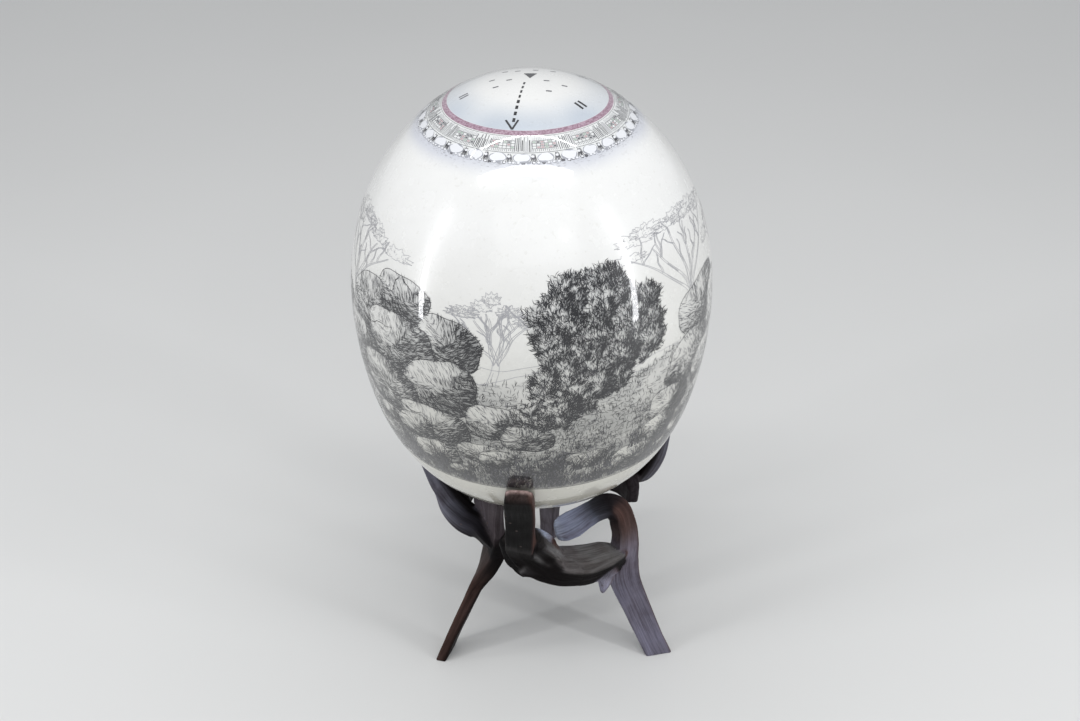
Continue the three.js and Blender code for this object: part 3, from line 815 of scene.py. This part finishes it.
# the dial inside the ring: a triangle, a dashed pointer and short ticks
for k in range(7):
    t = k / 7
    chord(-1.0 + 2.1 * t * 0.88, 2.7 - 4.0 * t, 3.1 - 2.1 * t * 1.05, 2.7 - 4.0 * t, 0.62, DARK)
tip = (-5.0, -25.0)
for k in range(8):
    t0 = 0.17 + 0.098 * k
    t1 = t0 + 0.055
    wide = 0.66 + 0.24 * (k > 3)
    chord(tip[0] * t0, tip[1] * t0, tip[0] * t1, tip[1] * t1, wide, BLACK if k > 2 else DARK)
chord(-6.9, -21.7, tip[0], tip[1] - 0.3, 0.62, BLACK)
chord(-3.0, -22.2, tip[0], tip[1] - 0.3, 0.62, BLACK)


def tick(r0, a0, r1, a1, w, mat):
    p0 = (r0 * math.sin(math.radians(a0)), -r0 * math.cos(math.radians(a0)))
    p1 = (r1 * math.sin(math.radians(a1)), -r1 * math.cos(math.radians(a1)))
    chord(*p0, *p1, w, mat)


for a0 in (-80.5, -76.5):
    tick(19.3, a0, 22.2, a0 - 0.4, 0.60, GREY)
for a0 in (49.0, 54.0):
    tick(19.4, a0, 22.5, a0 + 1.0, 0.85, BLACK)
for a0 in (118.0, 122.5, -142.0, -146.0):
    tick(19.0, a0, 22.8, a0, 0.34, DARK)
for r, a in ((11.3, -92.6), (6.0, -74.0), (11.3, -63.0), (6.7, 66.0), (12.6, 69.0), (11.4, 36.0), (9.9, -134.0), (6.8, -154.0), (11.0, 130.0), (7.4, 158.0)):
    px, py = r * math.sin(math.radians(a)), -r * math.cos(math.radians(a))
    chord(px - 0.9, py, px + 0.9, py + 0.12, 0.62, GREY)

for ink, name, off in ((low_cap, "cap_ring", 0.02), (cap, "cap_ornament", 0.04)):
    o = ink.mesh(name, CAP, off)
    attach(o, "root")
    print(name, "triangles", sum(p.loop_total - 2 for p in o.data.polygons))

# ---------------------------------------------------------------- the stand's strips
STAND_X = 5.3
LEG_RIGHT = [[0, 50.4, -4, 1, 4.8, 1.9, 0.68, 0.73, 0.2], [0, 44.7, 7, 1, 5.0, 2.0, 0.68, 0.73, 0.2], [0, 38.1, 21, 1, 5.4, 2.2, 0.68, 0.73, 0.2], [0, 32.9, 33, 1, 6.0, 2.5, 0.7, 0.71, 0.2], [0, 31.6, 41, 1, 6.4, 2.9, 0.8, 0.55, 0.1], [0, 32.6, 51, 1, 5.6, 2.7, 0.93, 0.35, 0.1], [1, 32.3, 60, 1, 5.0, 2.5, 0.95, 0.2, 0.25], [4, 30.4, 68.0, 1, 5.0, 2.3, 0.8, 0.1, 0.6]]
LEG_LEFT = [[3.2, 50.6, -4, 1, 4.8, 1.9, 0.68, 0.73, 0.2], [2.6, 45.8, 7, 1, 4.8, 2.0, 0.68, 0.73, 0.2], [1.1, 39.4, 21, 1, 4.9, 2.2, 0.68, 0.73, 0.2], [0, 33.4, 33, 1, 5.5, 2.6, 0.7, 0.71, 0.2], [-2, 29.6, 41, 1, 6.3, 3.1, 0.8, 0.55, 0.1], [-5, 26.8, 51, 1, 6.7, 3.0, 0.93, 0.35, 0.1], [-5, 27.0, 60, 1, 6.6, 2.3, 0.95, 0.2, 0.25], [-1, 27.0, 67.8, 1, 6.4, 2.1, 0.8, 0.1, 0.6]]
LEG_BACK = [[0, 51.3, -4, 1, 4.2, 1.9, .68, .73, .2], [0, 46.6, 7, 1, 4.3, 2.0, .68, .73, .2], [0, 40.8, 21, 1, 4.5, 2.2, .68, .73, .2], [0, 35.2, 33, 1, 5.2, 2.5, .7, .71, .2], [0, 32.6, 41, 1, 6.0, 2.9, .8, .55, .1], [0, 31.6, 51, 1, 5.4, 2.7, .93, .35, .1], [1, 30.4, 60, 1, 4.9, 2.4, .95, .2, .25], [3, 28.8, 67.8, 1, 4.9, 2.2, .8, .1, .6]]
TONGUE_RIGHT = [[12, 28.0, 71.8, 1, 4.6, 2.2, 0.3, 0.1, 0.95], [22, 26.2, 71.0, 1, 4.2, 2.1, 0.1, 0, 1], [31, 25.3, 69.4, 1, 4.4, 2.1, 0.2, 0, 0.98], [42, 25.4, 67.9, 1, 5.0, 2.2, 0.35, 0, 0.93], [50, 25.8, 67.0, 1, 4.7, 2.2, 0.4, 0, 0.9], [55.5, 26.0, 66.6, 1, 3.6, 1.9, 0.4, 0, 0.9], [57.5, 26.1, 66.5, 1, 2.2, 1.3, 0.4, 0, 0.9]]
TONGUE_BACK = [[11, 25.4, 72.8, 1, 4.9, 2.1, 0.35, 0, 0.94], [27, 21.4, 74.2, 1, 4.9, 2.1, 0.05, 0, 1], [55, 18.4, 73.6, 1, 4.8, 2.1, 0, 0, 1], [86, 17.6, 70.4, 1, 4.6, 2.1, 0.1, 0, 1], [100, 17.3, 68.4, 1, 4.1, 2.0, 0.3, 0, 0.95], [107, 17.3, 67.5, 1, 2.8, 1.5, 0.3, 0, 0.95]]
TONGUE_LEFT = [[11, 25.4, 72.8, 1, 4.9, 2.1, .35, 0, .94], [27, 21.4, 74.2, 1, 4.9, 2.1, .05, 0, 1], [55, 18.4, 73.6, 1, 4.8, 2.1, 0, 0, 1], [86, 17.6, 70.4, 1, 4.6, 2.1, .1, 0, 1], [112, 17.2, 66.4, 1, 4.0, 2.0, .4, 0, .92], [134, 21.2, 65.2, 1, 4.6, 2.2, .65, 0, .76], [154, 24.8, 65.8, 1, 5.2, 2.4, .7, 0, .7], [171, 25.6, 66.9, 1, 4.4, 2.3, .7, 0, .7], [177, 25.8, 67.4, 1, 2.7, 1.5, .7, 0, .7]]
SLING_RIGHT = [[3, 31.4, 43.6, 1, 4.0, 2.4, 1, 0.1, 0], [11, 31.2, 46.8, 1, 4.8, 4.4, 1, 0, -0.15], [22, 30.6, 49.4, 1, 4.9, 6.0, 1, 0, -0.3], [38, 30.2, 50.8, 1, 4.9, 6.6, 1, 0, -0.34], [54, 30.8, 53.0, 1, 5.2, 6.2, 1, 0, -0.25], [68, 33.0, 57.2, 1, 5.3, 4.9, 1, 0, -0.05], [77.5, 36.2, 65.0, 1, 5.2, 3.6, 1, 0, -0.2]]
PRONG_RIGHT = [[68.8, 41.2, 75.5, 0, 5.2, 3.0, 1, 0, -.3], [67.6, 46.0, 86.0, 0, 5.2, 2.7, 1, 0, -.35], [66.8, 50.6, 96.0, 0, 5.2, 2.6, 1, 0, -.45], [66.3, 55.2, 104.0, 0, 5.2, 2.6, 1, 0, -.55], [66.1, 57.4, 108.2, 0, 4.7, 2.5, 1, 0, -.6], [66.0, 58.3, 110.4, 0, 3.0, 1.7, 1, 0, -.6]]
SLING_LEFT = [[-6, 27.6, 53.0, 1, 4.0, 3.2, 1, 0.1, 0.1], [1, 30.6, 59.6, 1, 4.0, 4.6, 1, 0, 0.1], [9, 34.8, 62.4, 1, 3.9, 5.2, 1, 0, 0.12], [18, 38.4, 65.4, 1, 4.1, 4.8, 1, 0, 0.05], [27, 41.4, 69.4, 1, 4.7, 4.1, 1, 0, -0.1]]
PRONG_LEFT = [[34.5, 44.8, 76.6, 0.9, 5.1, 3.4, 1, 0, -0.2], [41.5, 47.4, 85.6, 0.6, 5.1, 2.8, 1, 0, -0.3], [48.5, 51.2, 96.0, 0.3, 5.1, 2.6, 1, 0, -0.45], [54, 55.2, 104.0, 0, 5.1, 2.6, 1, 0, -0.55], [56, 57.4, 108.4, 0, 4.6, 2.5, 1, 0, -0.6], [57, 58.3, 110.6, 0, 3.0, 1.7, 1, 0, -0.6]]
SLING_BACK = [[-3, 32.0, 42, 1, 4.2, 3.2, 1, .1, .1], [8, 31.6, 46.5, 1, 5.0, 4.6, 1, 0, .1], [22, 31.2, 49.8, 1, 4.9, 5.4, 1, 0, .12], [38, 31.2, 52.6, 1, 4.9, 5.4, 1, 0, .12], [54, 33.0, 56.6, 1, 5.2, 5.0, 1, 0, .1], [66, 38.0, 61.8, 1, 5.3, 4.2, 1, 0, 0]]
PRONG_BACK = [[69, 43.6, 69.5, 1, 5.3, 3.5, 1, 0, -.3], [69.5, 48.0, 79.8, .7, 5.3, 2.9, 1, 0, -.3], [68.5, 51.8, 92.0, .3, 5.3, 2.6, 1, 0, -.4], [67, 55.4, 103.4, 0, 5.2, 2.6, 1, 0, -.55], [66.1, 57.4, 108.0, 0, 4.7, 2.5, 1, 0, -.6], [66.0, 58.3, 110.2, 0, 3.0, 1.7, 1, 0, -.6]]
SHOULDER_RIGHT = [[46, 30.6, 51.4, 1, 4.4, 5.4, 1, 0, -0.3], [58, 32.0, 54.2, 1, 5.4, 5.0, 1, 0, -0.2], [66, 33.6, 58.6, 1, 7.4, 4.3, 1, 0, 0], [72.5, 34.2, 62.4, 1, 9.4, 4.3, 1, 0, 0], [80, 34.0, 61.8, 1, 9.6, 4.0, 1, 0, 0], [86, 33.9, 61.0, 1, 8.2, 3.0, 1, -0.1, 0], [90, 33.9, 60.2, 1, 6.2, 2.4, 1, -0.2, 0], [92.5, 33.9, 59.8, 1, 4.0, 1.5, 1, -0.2, 0]]
SHOULDER_LEFT = [[14, 34.4, 61.2, 1, 3.6, 3.6, 1, 0, 0], [24, 35.4, 61.6, 1, 5.0, 3.6, 1, 0, 0], [38, 35.0, 60.4, 1, 5.8, 3.0, 1, -0.1, 0], [50, 34.0, 58.8, 1, 4.6, 2.4, 1, -0.2, 0], [54, 33.6, 58.2, 1, 2.8, 1.5, 1, -0.2, 0]]
SHOULDER_BACK = [[54, 32.2, 55.0, 1, 4.6, 3.4, 1, 0, 0], [64, 33.4, 57.6, 1, 6.4, 3.4, 1, 0, 0], [74, 33.4, 58.4, 1, 6.4, 3.0, 1, -.1, 0], [82, 33.2, 58.0, 1, 4.8, 2.4, 1, -.2, 0], [85, 33.1, 57.7, 1, 3.0, 1.5, 1, -.2, 0]]
VOXEL = 0.00040


def catmull(pts, t):
    """Centripetal spline through the points, sampled at t from 0 to 1 with equal room per span."""
    n = len(pts)
    u = np.clip(t, 0, 1) * (n - 1)
    i = np.minimum(np.floor(u).astype(int), n - 2)
    w = u - i
    ext = np.concatenate([[2 * pts[0] - pts[1]], pts, [2 * pts[-1] - pts[-2]]])
    p0, p1, p2, p3 = ext[i], ext[i + 1], ext[i + 2], ext[i + 3]

    def span(a, b):
        return np.maximum(np.linalg.norm(b - a, axis=1) ** 0.5, 1e-4)

    d0, d1, d2 = span(p0, p1), span(p1, p2), span(p2, p3)
    t1 = (p1 - p0) / d0[:, None] - (p2 - p0) / (d0 + d1)[:, None] + (p2 - p1) / d1[:, None]
    t2 = (p2 - p1) / d1[:, None] - (p3 - p1) / (d1 + d2)[:, None] + (p3 - p2) / d2[:, None]
    t1, t2 = t1 * d1[:, None], t2 * d1[:, None]
    w = w[:, None]
    return (2 * w**3 - 3 * w**2 + 1) * p1 + (w**3 - 2 * w**2 + w) * t1 + (-2 * w**3 + 3 * w**2) * p2 + (w**3 - w**2) * t2


def strip(rows, leg, steps, sides=40):
    rows = np.array(rows, float)
    a = np.radians(leg - rows[:, 0])
    out = np.stack([np.sin(a), -np.cos(a), 0 * a], 1)
    along = np.stack([-np.cos(a), -np.sin(a), 0 * a], 1)
    centres = np.stack([STAND_X * rows[:, 3] + rows[:, 1] * np.sin(a), -rows[:, 1] * np.cos(a), rows[:, 2]], 1)
    face = out * rows[:, 6:7] + along * rows[:, 7:8] + np.array([0, 0, 1.0]) * rows[:, 8:9]
    t = np.linspace(0, 1, steps)
    c = catmull(centres, t)
    st = np.linspace(0, 1, len(rows))
    half_w, half_t = np.interp(t, st, rows[:, 4]), np.interp(t, st, rows[:, 5])
    n = np.stack([np.interp(t, st, face[:, k]) for k in range(3)], 1)
    tan = np.gradient(c, axis=0)
    tan /= np.linalg.norm(tan, axis=1, keepdims=True)
    n -= tan * np.sum(n * tan, 1, keepdims=True)
    n /= np.linalg.norm(n, axis=1, keepdims=True)
    w = np.cross(n, tan)
    th = np.arange(sides) / sides * 2 * math.pi
    e = 2 / 11.0
    su = np.sign(np.cos(th)) * np.abs(np.cos(th)) ** e
    sh = np.sign(np.sin(th)) * np.abs(np.sin(th)) ** e
    v = c[:, None] - w[:, None] * (half_w[:, None, None] * su[None, :, None]) + n[:, None] * (half_t[:, None, None] * sh[None, :, None])
    # closed ends
    i = np.arange(steps * sides).reshape(steps, sides)
    j = np.roll(i, -1, 1)
    faces = np.stack([i[:-1], i[1:], j[1:], j[:-1]], -1).reshape(-1, 4).tolist()
    faces.append(i[0].tolist())
    faces.append(i[-1][::-1].tolist())
    return v.reshape(-1, 3), faces, (c, tan, n, w)


SPUR_RIGHT = [[20.5, 31.5, 45.5, 1, 3.4, 2.6, 1, 0, .1], [21.5, 32.6, 41.8, 1, 3.0, 2.2, 1, 0, .1], [23.5, 33.2, 38.6, 1, 1.7, 1.5, 1, 0, .1], [25, 33.5, 35.8, 1, .6, .6, 1, 0, .1]]


def leg_piece(name, leg, arm, sling, shoulder, tones, extra=()):
    verts, faces, lines, stains_and_painted_light = [], [], [], []
    base = 0
    for (rows, steps), stain_and_painted_light in zip(((arm, 150), (sling, 110), (shoulder, 50), *extra), tones):
        v, f, line = strip(rows, leg, steps)
        verts.append(v)
        stain_and_painted_light = np.array(stain_and_painted_light, float)
        at_row = np.linspace(0, 1, len(stain_and_painted_light))
        stains_and_painted_light.append(np.stack([np.interp(np.linspace(0, 1, steps), at_row, stain_and_painted_light[:, k]) for k in range(stain_and_painted_light.shape[1])], 1))
        faces += [[k + base for k in q] for q in f]
        base += len(v)
        lines.append(line)
    o = add_object(name, np.concatenate(verts) * MM, faces, [])
    rem = o.modifiers.new("union", "REMESH")
    rem.mode, rem.voxel_size, rem.use_smooth_shade = "VOXEL", VOXEL, True
    dg = bpy.context.evaluated_depsgraph_get()
    mesh = bpy.data.meshes.new_from_object(o.evaluated_get(dg))
    o.modifiers.clear()
    old = o.data
    o.data = mesh
    bpy.data.meshes.remove(old)
    mesh.name = name
    bm = bmesh.new()  # the sole, cut flat
    bm.from_mesh(mesh)
    cut = bmesh.ops.bisect_plane(bm, geom=bm.verts[:] + bm.edges[:] + bm.faces[:], dist=1e-7, plane_co=(0, 0, 0), plane_no=(0, 0, 1), clear_inner=True)
    rim = [q for q in cut["geom_cut"] if isinstance(q, bmesh.types.BMEdge)]
    bmesh.ops.holes_fill(bm, edges=rim, sides=0)
    bm.to_mesh(mesh)
    bm.free()

    v = np.empty(len(mesh.vertices) * 3)
    mesh.vertices.foreach_get("co", v)
    v = v.reshape(-1, 3) / MM
    ed = np.empty(len(mesh.edges) * 2, np.int32)
    mesh.edges.foreach_get("vertices", ed)
    ed = ed.reshape(-1, 2)
    deg = np.bincount(ed.ravel(), minlength=len(v))[:, None]

    def relax(v, k):
        acc = np.zeros_like(v)
        np.add.at(acc, ed[:, 0], v[ed[:, 1]])
        np.add.at(acc, ed[:, 1], v[ed[:, 0]])
        return v + (acc / np.maximum(deg, 1) - v) * k

    sole = v[:, 2] < 1e-4
    for _ in range(2):
        v = relax(v, 0.45)
        v = relax(v, -0.42)
    v[sole, 2] = 0

    # grain coordinates from the nearest centreline: mm along, across and through
    c = np.concatenate([q[0] for q in lines])
    tn, nn, ww = (np.concatenate([q[k] for q in lines]) for k in (1, 2, 3))
    run = np.concatenate([np.concatenate([[0], np.cumsum(np.linalg.norm(np.diff(q[0], axis=0), axis=1))]) + 300 * k for k, q in enumerate(lines)])
    tree = kdtree.KDTree(len(c))
    for k, p in enumerate(c):
        tree.insert(p, k)
    tree.balance()
    near = np.array([tree.find(p)[1] for p in v])
    d = v - c[near]
    grain = np.stack([run[near] + np.sum(d * tn[near], 1), np.sum(d * ww[near], 1), np.sum(d * nn[near], 1)], 1)

    # carved surface: shallow knife facets and grain furrows
    nrm = np.zeros_like(v)
    me = o.data
    me.vertices.foreach_set("co", (v * MM).ravel())
    me.update()
    flat = np.empty(len(v) * 3, np.float32)
    me.vertices.foreach_get("normal", flat)
    nrm = flat.reshape(-1, 3)
    along_, across, through = grain.T
    f = 0.16 * (vnoise(along_ * 1.0, across * 2.2 + through * 1.3, 5.5, 1) - 0.5)
    f += 0.10 * (vnoise(along_ * 0.5, across * 5 + through * 4, 3.2, 2) - 0.5)
    v = v + nrm * f[:, None]

    # clear of the shell, and flat on the table
    z = v[:, 2] - EGG_Z
    rr = np.hypot(v[:, 0], v[:, 1])
    s = np.interp(z, PZ, PS)
    pr, pz = np.interp(z, PZ, PR), z
    gap = rr - pr
    inside = (z > PZ[0]) & (z < PZ[-1])
    # normal of the shell at the same height, outwards and down
    kr, kz = np.interp(s, PS, PDZ), -np.interp(s, PS, PDR)
    k = np.hypot(kr, kz)
    kr, kz = kr / k, kz / k
    short = np.where(inside, 0.40 - gap * kr, 0)
    push = np.clip(short, 0, 6)
    ux, uy = v[:, 0] / np.maximum(rr, 1e-6), v[:, 1] / np.maximum(rr, 1e-6)
    v[:, 0] += ux * kr * push
    v[:, 1] += uy * kr * push
    v[:, 2] += kz * push
    v[:, 2] = np.maximum(v[:, 2], 0)
    me.vertices.foreach_set("co", (v * MM).ravel())
    me.update()
    layer = me.attributes.new("grain", "FLOAT_VECTOR", "POINT")
    layer.data.foreach_set("vector", (grain * MM).astype(np.float32).ravel())

    # stain with painted light and shade: the station colour shows on the faces that look up or out, as if lit, and
    # the other faces fall to a painted near-black shade
    stain_and_painted_light = np.concatenate(stains_and_painted_light)[near]
    face_up, face_out, face_x = nrm[:, 2], np.sum(nrm * nn[near], 1), nrm[:, 0]
    shown = np.select(
        [stain_and_painted_light[:, 3] < 0.5, stain_and_painted_light[:, 3] < 1.5, stain_and_painted_light[:, 3] < 2.5],
        [np.ones(len(v)), smooth(-0.12, 0.26, face_up), np.maximum(smooth(-0.05, 0.5, face_out), 0.95 * smooth(-1.4, 0.8, through) * smooth(-0.1, 0.5, -nrm[:, 1])) * smooth(-0.95, -0.35, face_up)],
        smooth(-0.2, 0.5, -face_x) * 0.75 + smooth(0.1, 0.7, face_up) * 0.6,
    )
    shown = np.clip(shown, 0, 1)[:, None]
    # painted shade: the near black of the faces that don't look up or out
    dark = np.array([0.0050, 0.0038, 0.0040])
    colour = dark * (1 - shown) + stain_and_painted_light[:, :3] * shown
    red = (smooth(0.55, 0.85, face_x) * (leg == 60) * (stain_and_painted_light[:, 3] < 0.5))[:, None]
    colour = colour * (1 - red) + np.array([0.075, 0.042, 0.036]) * red
    rim = (smooth(108.6, 109.6, v[:, 2]) * smooth(0.2, 1.0, -through) * (leg == 60))[:, None]  # a light pinkish band along the top edge of the front prong
    colour = colour * (1 - rim) + np.array([0.42, 0.31, 0.29]) * rim
    for _ in range(7):
        colour = relax(colour, 0.6)
    layer = me.color_attributes.new("stain_and_painted_light", "FLOAT_COLOR", "POINT")
    layer.data.foreach_set("color", np.concatenate([colour, np.ones((len(v), 1))], 1).astype(np.float32).ravel())
    me.polygons.foreach_set("use_smooth", np.ones(len(me.polygons), bool))
    print(name, "triangles", sum(p.loop_total - 2 for p in me.polygons))
    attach(o, "root")
    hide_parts(name.replace("wood_", "stand_"))
    return o


def wood(name, rough_lo, rough_hi):
    mat, nt, bsdf = material(name)
    grain = node(nt, "ShaderNodeAttribute", attribute_name="grain").outputs["Vector"]
    stain_and_painted_light = node(nt, "ShaderNodeAttribute", attribute_name="stain_and_painted_light").outputs["Color"]
    obj = node(nt, "ShaderNodeTexCoord").outputs["Object"]
    fine = noise(nt, mapped(nt, grain, (70, 1700, 1300)), 1.0, 5, 0.68, 0.5)
    broad = noise(nt, mapped(nt, grain, (26, 380, 300)), 1.0, 3, 0.55, 0.9)
    patch = noise(nt, obj, 60, 4, 0.6)
    streak = ramp(nt, fine, [(0.30, (0.50, 0.49, 0.49)), (0.46, (0.86, 0.855, 0.86)), (0.60, (1.08, 1.08, 1.08)), (0.74, (1.50, 1.48, 1.50))])
    base = mix(nt, 1.0, stain_and_painted_light, streak, "MULTIPLY")
    vein = ramp(nt, broad, [(0.34, (0.58, 0.54, 0.53)), (0.46, (0.94, 0.93, 0.92)), (0.66, (1.12, 1.12, 1.12))])
    base = mix(nt, 1.0, base, vein, "MULTIPLY")
    cloud = ramp(nt, patch, [(0.36, (0.72, 0.67, 0.66)), (0.50, (1.0, 0.99, 0.98)), (0.66, (1.14, 1.14, 1.17))])
    base = mix(nt, 1.0, base, cloud, "MULTIPLY")
    geo = node(nt, "ShaderNodeNewGeometry")
    edge = remap(nt, geo.outputs["Pointiness"], 0.545, 0.61, 0.0, 1.0)
    worn = node(nt, "ShaderNodeMath", operation="MULTIPLY")
    nt.links.new(edge, worn.inputs[0])
    nt.links.new(remap(nt, noise(nt, obj, 190, 3, 0.6), 0.42, 0.62, 0.0, 0.8), worn.inputs[1])
    base = mix(nt, worn.outputs[0], base, (0.085, 0.064, 0.060))
    # near black in the hollows of the carving
    hollow_dark = remap(nt, geo.outputs["Pointiness"], 0.47, 0.40, 0.0, 0.8)
    base = mix(nt, hollow_dark, base, (0.006, 0.005, 0.005))
    nt.links.new(base, bsdf.inputs["Base Color"])
    nt.links.new(remap(nt, fine, 0.3, 0.7, rough_lo, rough_hi), bsdf.inputs["Roughness"])
    h = bump(nt, fine, 0.45, 0.00016)
    h = bump(nt, broad, 0.35, 0.00035, h)
    h = bump(nt, noise(nt, obj, 900, 2), 0.12, 0.0001, h)
    nt.links.new(h, bsdf.inputs["Normal"])
    bsdf.inputs["IOR"].default_value = 1.5
    bsdf.inputs["Specular IOR Level"].default_value = 0.03
    return mat


wood_right = wood("hardwood_right", 0.36, 0.55)
wood_left = wood("hardwood_left", 0.36, 0.55)
wood_back = wood("hardwood_back", 0.36, 0.55)

# stain and painted light at each station: colour, then 0 all round, 1 on faces that look up, 2 on the outer edge, 3
# on the left and upper faces; with 1 to 3 the colour shows only on these faces, as if lit, and the rest fall to a
# painted near-black shade
# painted light and shade in these colours: the lavender and pale-blue tones are painted sheen and highlight, and the
# near-black tone is painted shade under the egg
LAVENDER, PALE_BLUE, UMBER = (0.142, 0.136, 0.178, 0), (0.28, 0.31, 0.43, 0), (0.085, 0.066, 0.066, 0)
CRESCENT, PAINTED_SHADE_BLACK, WORN = (0.150, 0.146, 0.146, 1), (0.0030, 0.0026, 0.0029, 0), (0.10, 0.082, 0.070, 0)
GREY_STRIP, RUSSET, FACET, DUSK = (0.105, 0.107, 0.138, 2), (0.066, 0.040, 0.035, 3), (0.085, 0.074, 0.082, 0), (0.034, 0.029, 0.034, 0)
# the rows mix the wood's colour with painted light and shade: lighter rows where a strip faces the lights, the
# pale-blue tongue tip as a painted highlight, and near-black rows where a strip runs under the egg or faces away,
# such as the front prong, as painted shade
TONES = {
    60: (
        [LAVENDER] * 4 + [(0.160, 0.152, 0.195, 0), (0.160, 0.145, 0.180, 0), UMBER, (0.022, 0.017, 0.018, 0)] + [(0.014, 0.012, 0.014, 0), (0.050, 0.052, 0.066, 0), (0.21, 0.23, 0.32, 0), PALE_BLUE, PALE_BLUE, (0.40, 0.45, 0.58, 0), (0.40, 0.45, 0.58, 0)],
        [(0.15, 0.13, 0.13, 1), CRESCENT, CRESCENT, CRESCENT, (0.165, 0.162, 0.165, 1), (0.165, 0.162, 0.165, 1), (0.05, 0.046, 0.046, 1)] + [PAINTED_SHADE_BLACK] * 4 + [(0.006, 0.005, 0.005, 0), (0.040, 0.029, 0.027, 0)],
        [CRESCENT, (0.17, 0.167, 0.17, 1), (0.17, 0.168, 0.17, 1), (0.10, 0.098, 0.10, 1)] + [PAINTED_SHADE_BLACK] * 4,
        [(0.10, 0.096, 0.12, 0), (0.21, 0.205, 0.26, 0), (0.21, 0.205, 0.26, 0), LAVENDER],
    ),
    -60: (
        [RUSSET] * 4 + [(0.050, 0.034, 0.030, 3), (0.045, 0.036, 0.036, 3), FACET, FACET] + [DUSK] * 9,
        [(0.010, 0.009, 0.010, 2), (0.012, 0.011, 0.013, 2), (0.040, 0.039, 0.049, 2), (0.125, 0.127, 0.162, 2)] + [(0.145, 0.147, 0.187, 2)] * 2 + [GREY_STRIP] * 4 + [(0.15, 0.145, 0.17, 2)],
        [(0.010, 0.008, 0.008, 0)] * 5,
    ),
    180: (
        [(0.100, 0.090, 0.108, 0)] * 3 + [(0.045, 0.038, 0.042, 0), (0.018, 0.015, 0.016, 0)] + [(0.010, 0.008, 0.009, 0)] * 3 + [DUSK] * 6,
        [DUSK] * 5 + [(0.115, 0.115, 0.140, 2)] * 7,
        [(0.030, 0.025, 0.028, 0)] * 5,
    ),
}

for name, leg, arm, sling, shoulder, mat in (
    ("wood_leg_right", 60, LEG_RIGHT + TONGUE_RIGHT, SLING_RIGHT + PRONG_RIGHT, SHOULDER_RIGHT, wood_right),
    ("wood_leg_left", -60, LEG_LEFT + TONGUE_LEFT, SLING_LEFT + PRONG_LEFT, SHOULDER_LEFT, wood_left),
    ("wood_leg_back", 180, LEG_BACK + TONGUE_BACK, SLING_BACK + PRONG_BACK, SHOULDER_BACK, wood_back),
):
    spur = ((SPUR_RIGHT, 24),) if leg == 60 else ()
    piece = leg_piece(name, leg, arm, sling, shoulder, TONES[leg], spur)
    piece.data.materials.append(mat)

# ---------------------------------------------------------------- floor and light
floor_mat, nt, bsdf = material("floor")
geo = node(nt, "ShaderNodeTexCoord").outputs["Object"]
nt.links.new(ramp(nt, noise(nt, geo, 3, 2), [(0.3, (0.70, 0.70, 0.69)), (0.7, (0.72, 0.72, 0.71))]), bsdf.inputs["Base Color"])
nt.links.new(remap(nt, noise(nt, geo, 40, 2), 0.3, 0.7, 0.75, 0.85), bsdf.inputs["Roughness"])
L = 4.0
floor = add_object("floor", [(-L, -L, 0), (L, -L, 0), (L, L, 0), (-L, L, 0)], [[0, 1, 2, 3]], [floor_mat])
floor.location.z = -0.0002

world = bpy.data.worlds.new("world")
scene.world = world
world.use_nodes = True
world.node_tree.nodes["Background"].inputs[0].default_value = (0.95, 0.97, 1.0, 1)
world.node_tree.nodes["Background"].inputs[1].default_value = 0.51


def area(name, centre, target, sx, sy, power, colour=(1, 1, 1)):
    data = bpy.data.lights.new(name, "AREA")
    data.shape, data.size, data.size_y, data.energy, data.color = "RECTANGLE", sx, sy, power, colour
    o = bpy.data.objects.new(name, data)
    scene.collection.objects.link(o)
    o.location = centre
    o.rotation_mode = "QUATERNION"
    o.rotation_quaternion = (Vector(target) - Vector(centre)).to_track_quat("-Z", "Y")
    return o


def polar(az_deg, dist, z):
    a = math.radians(az_deg)
    return (dist * math.sin(a), -dist * math.cos(a), z)


area("strip_left", polar(-66.5, 0.62, 0.33), polar(-66.5, 0.0, 0.33), 0.035, 0.60, 1.10, (0.97, 0.98, 1.0))
area("strip_right", polar(60.5, 0.62, 0.34), polar(60.5, 0.0, 0.34), 0.040, 0.64, 1.28, (0.97, 0.98, 1.0))
area("tube_front", (-0.07, -0.41, 1.36), (-0.07, -0.41, 0), 1.35, 0.16, 4.8)
area("tube_back", (-0.09, 0.045, 1.36), (-0.09, 0.045, 0), 1.40, 0.022, 2.8)
area("window", polar(25, 0.9, 0.78), (0, 0, 0.155), 0.035, 0.10, 0.22)
area("fill", (0.1, -1.3, 1.2), (0, 0, 0.1), 1.6, 1.0, 2.6, (0.98, 0.99, 1.0))
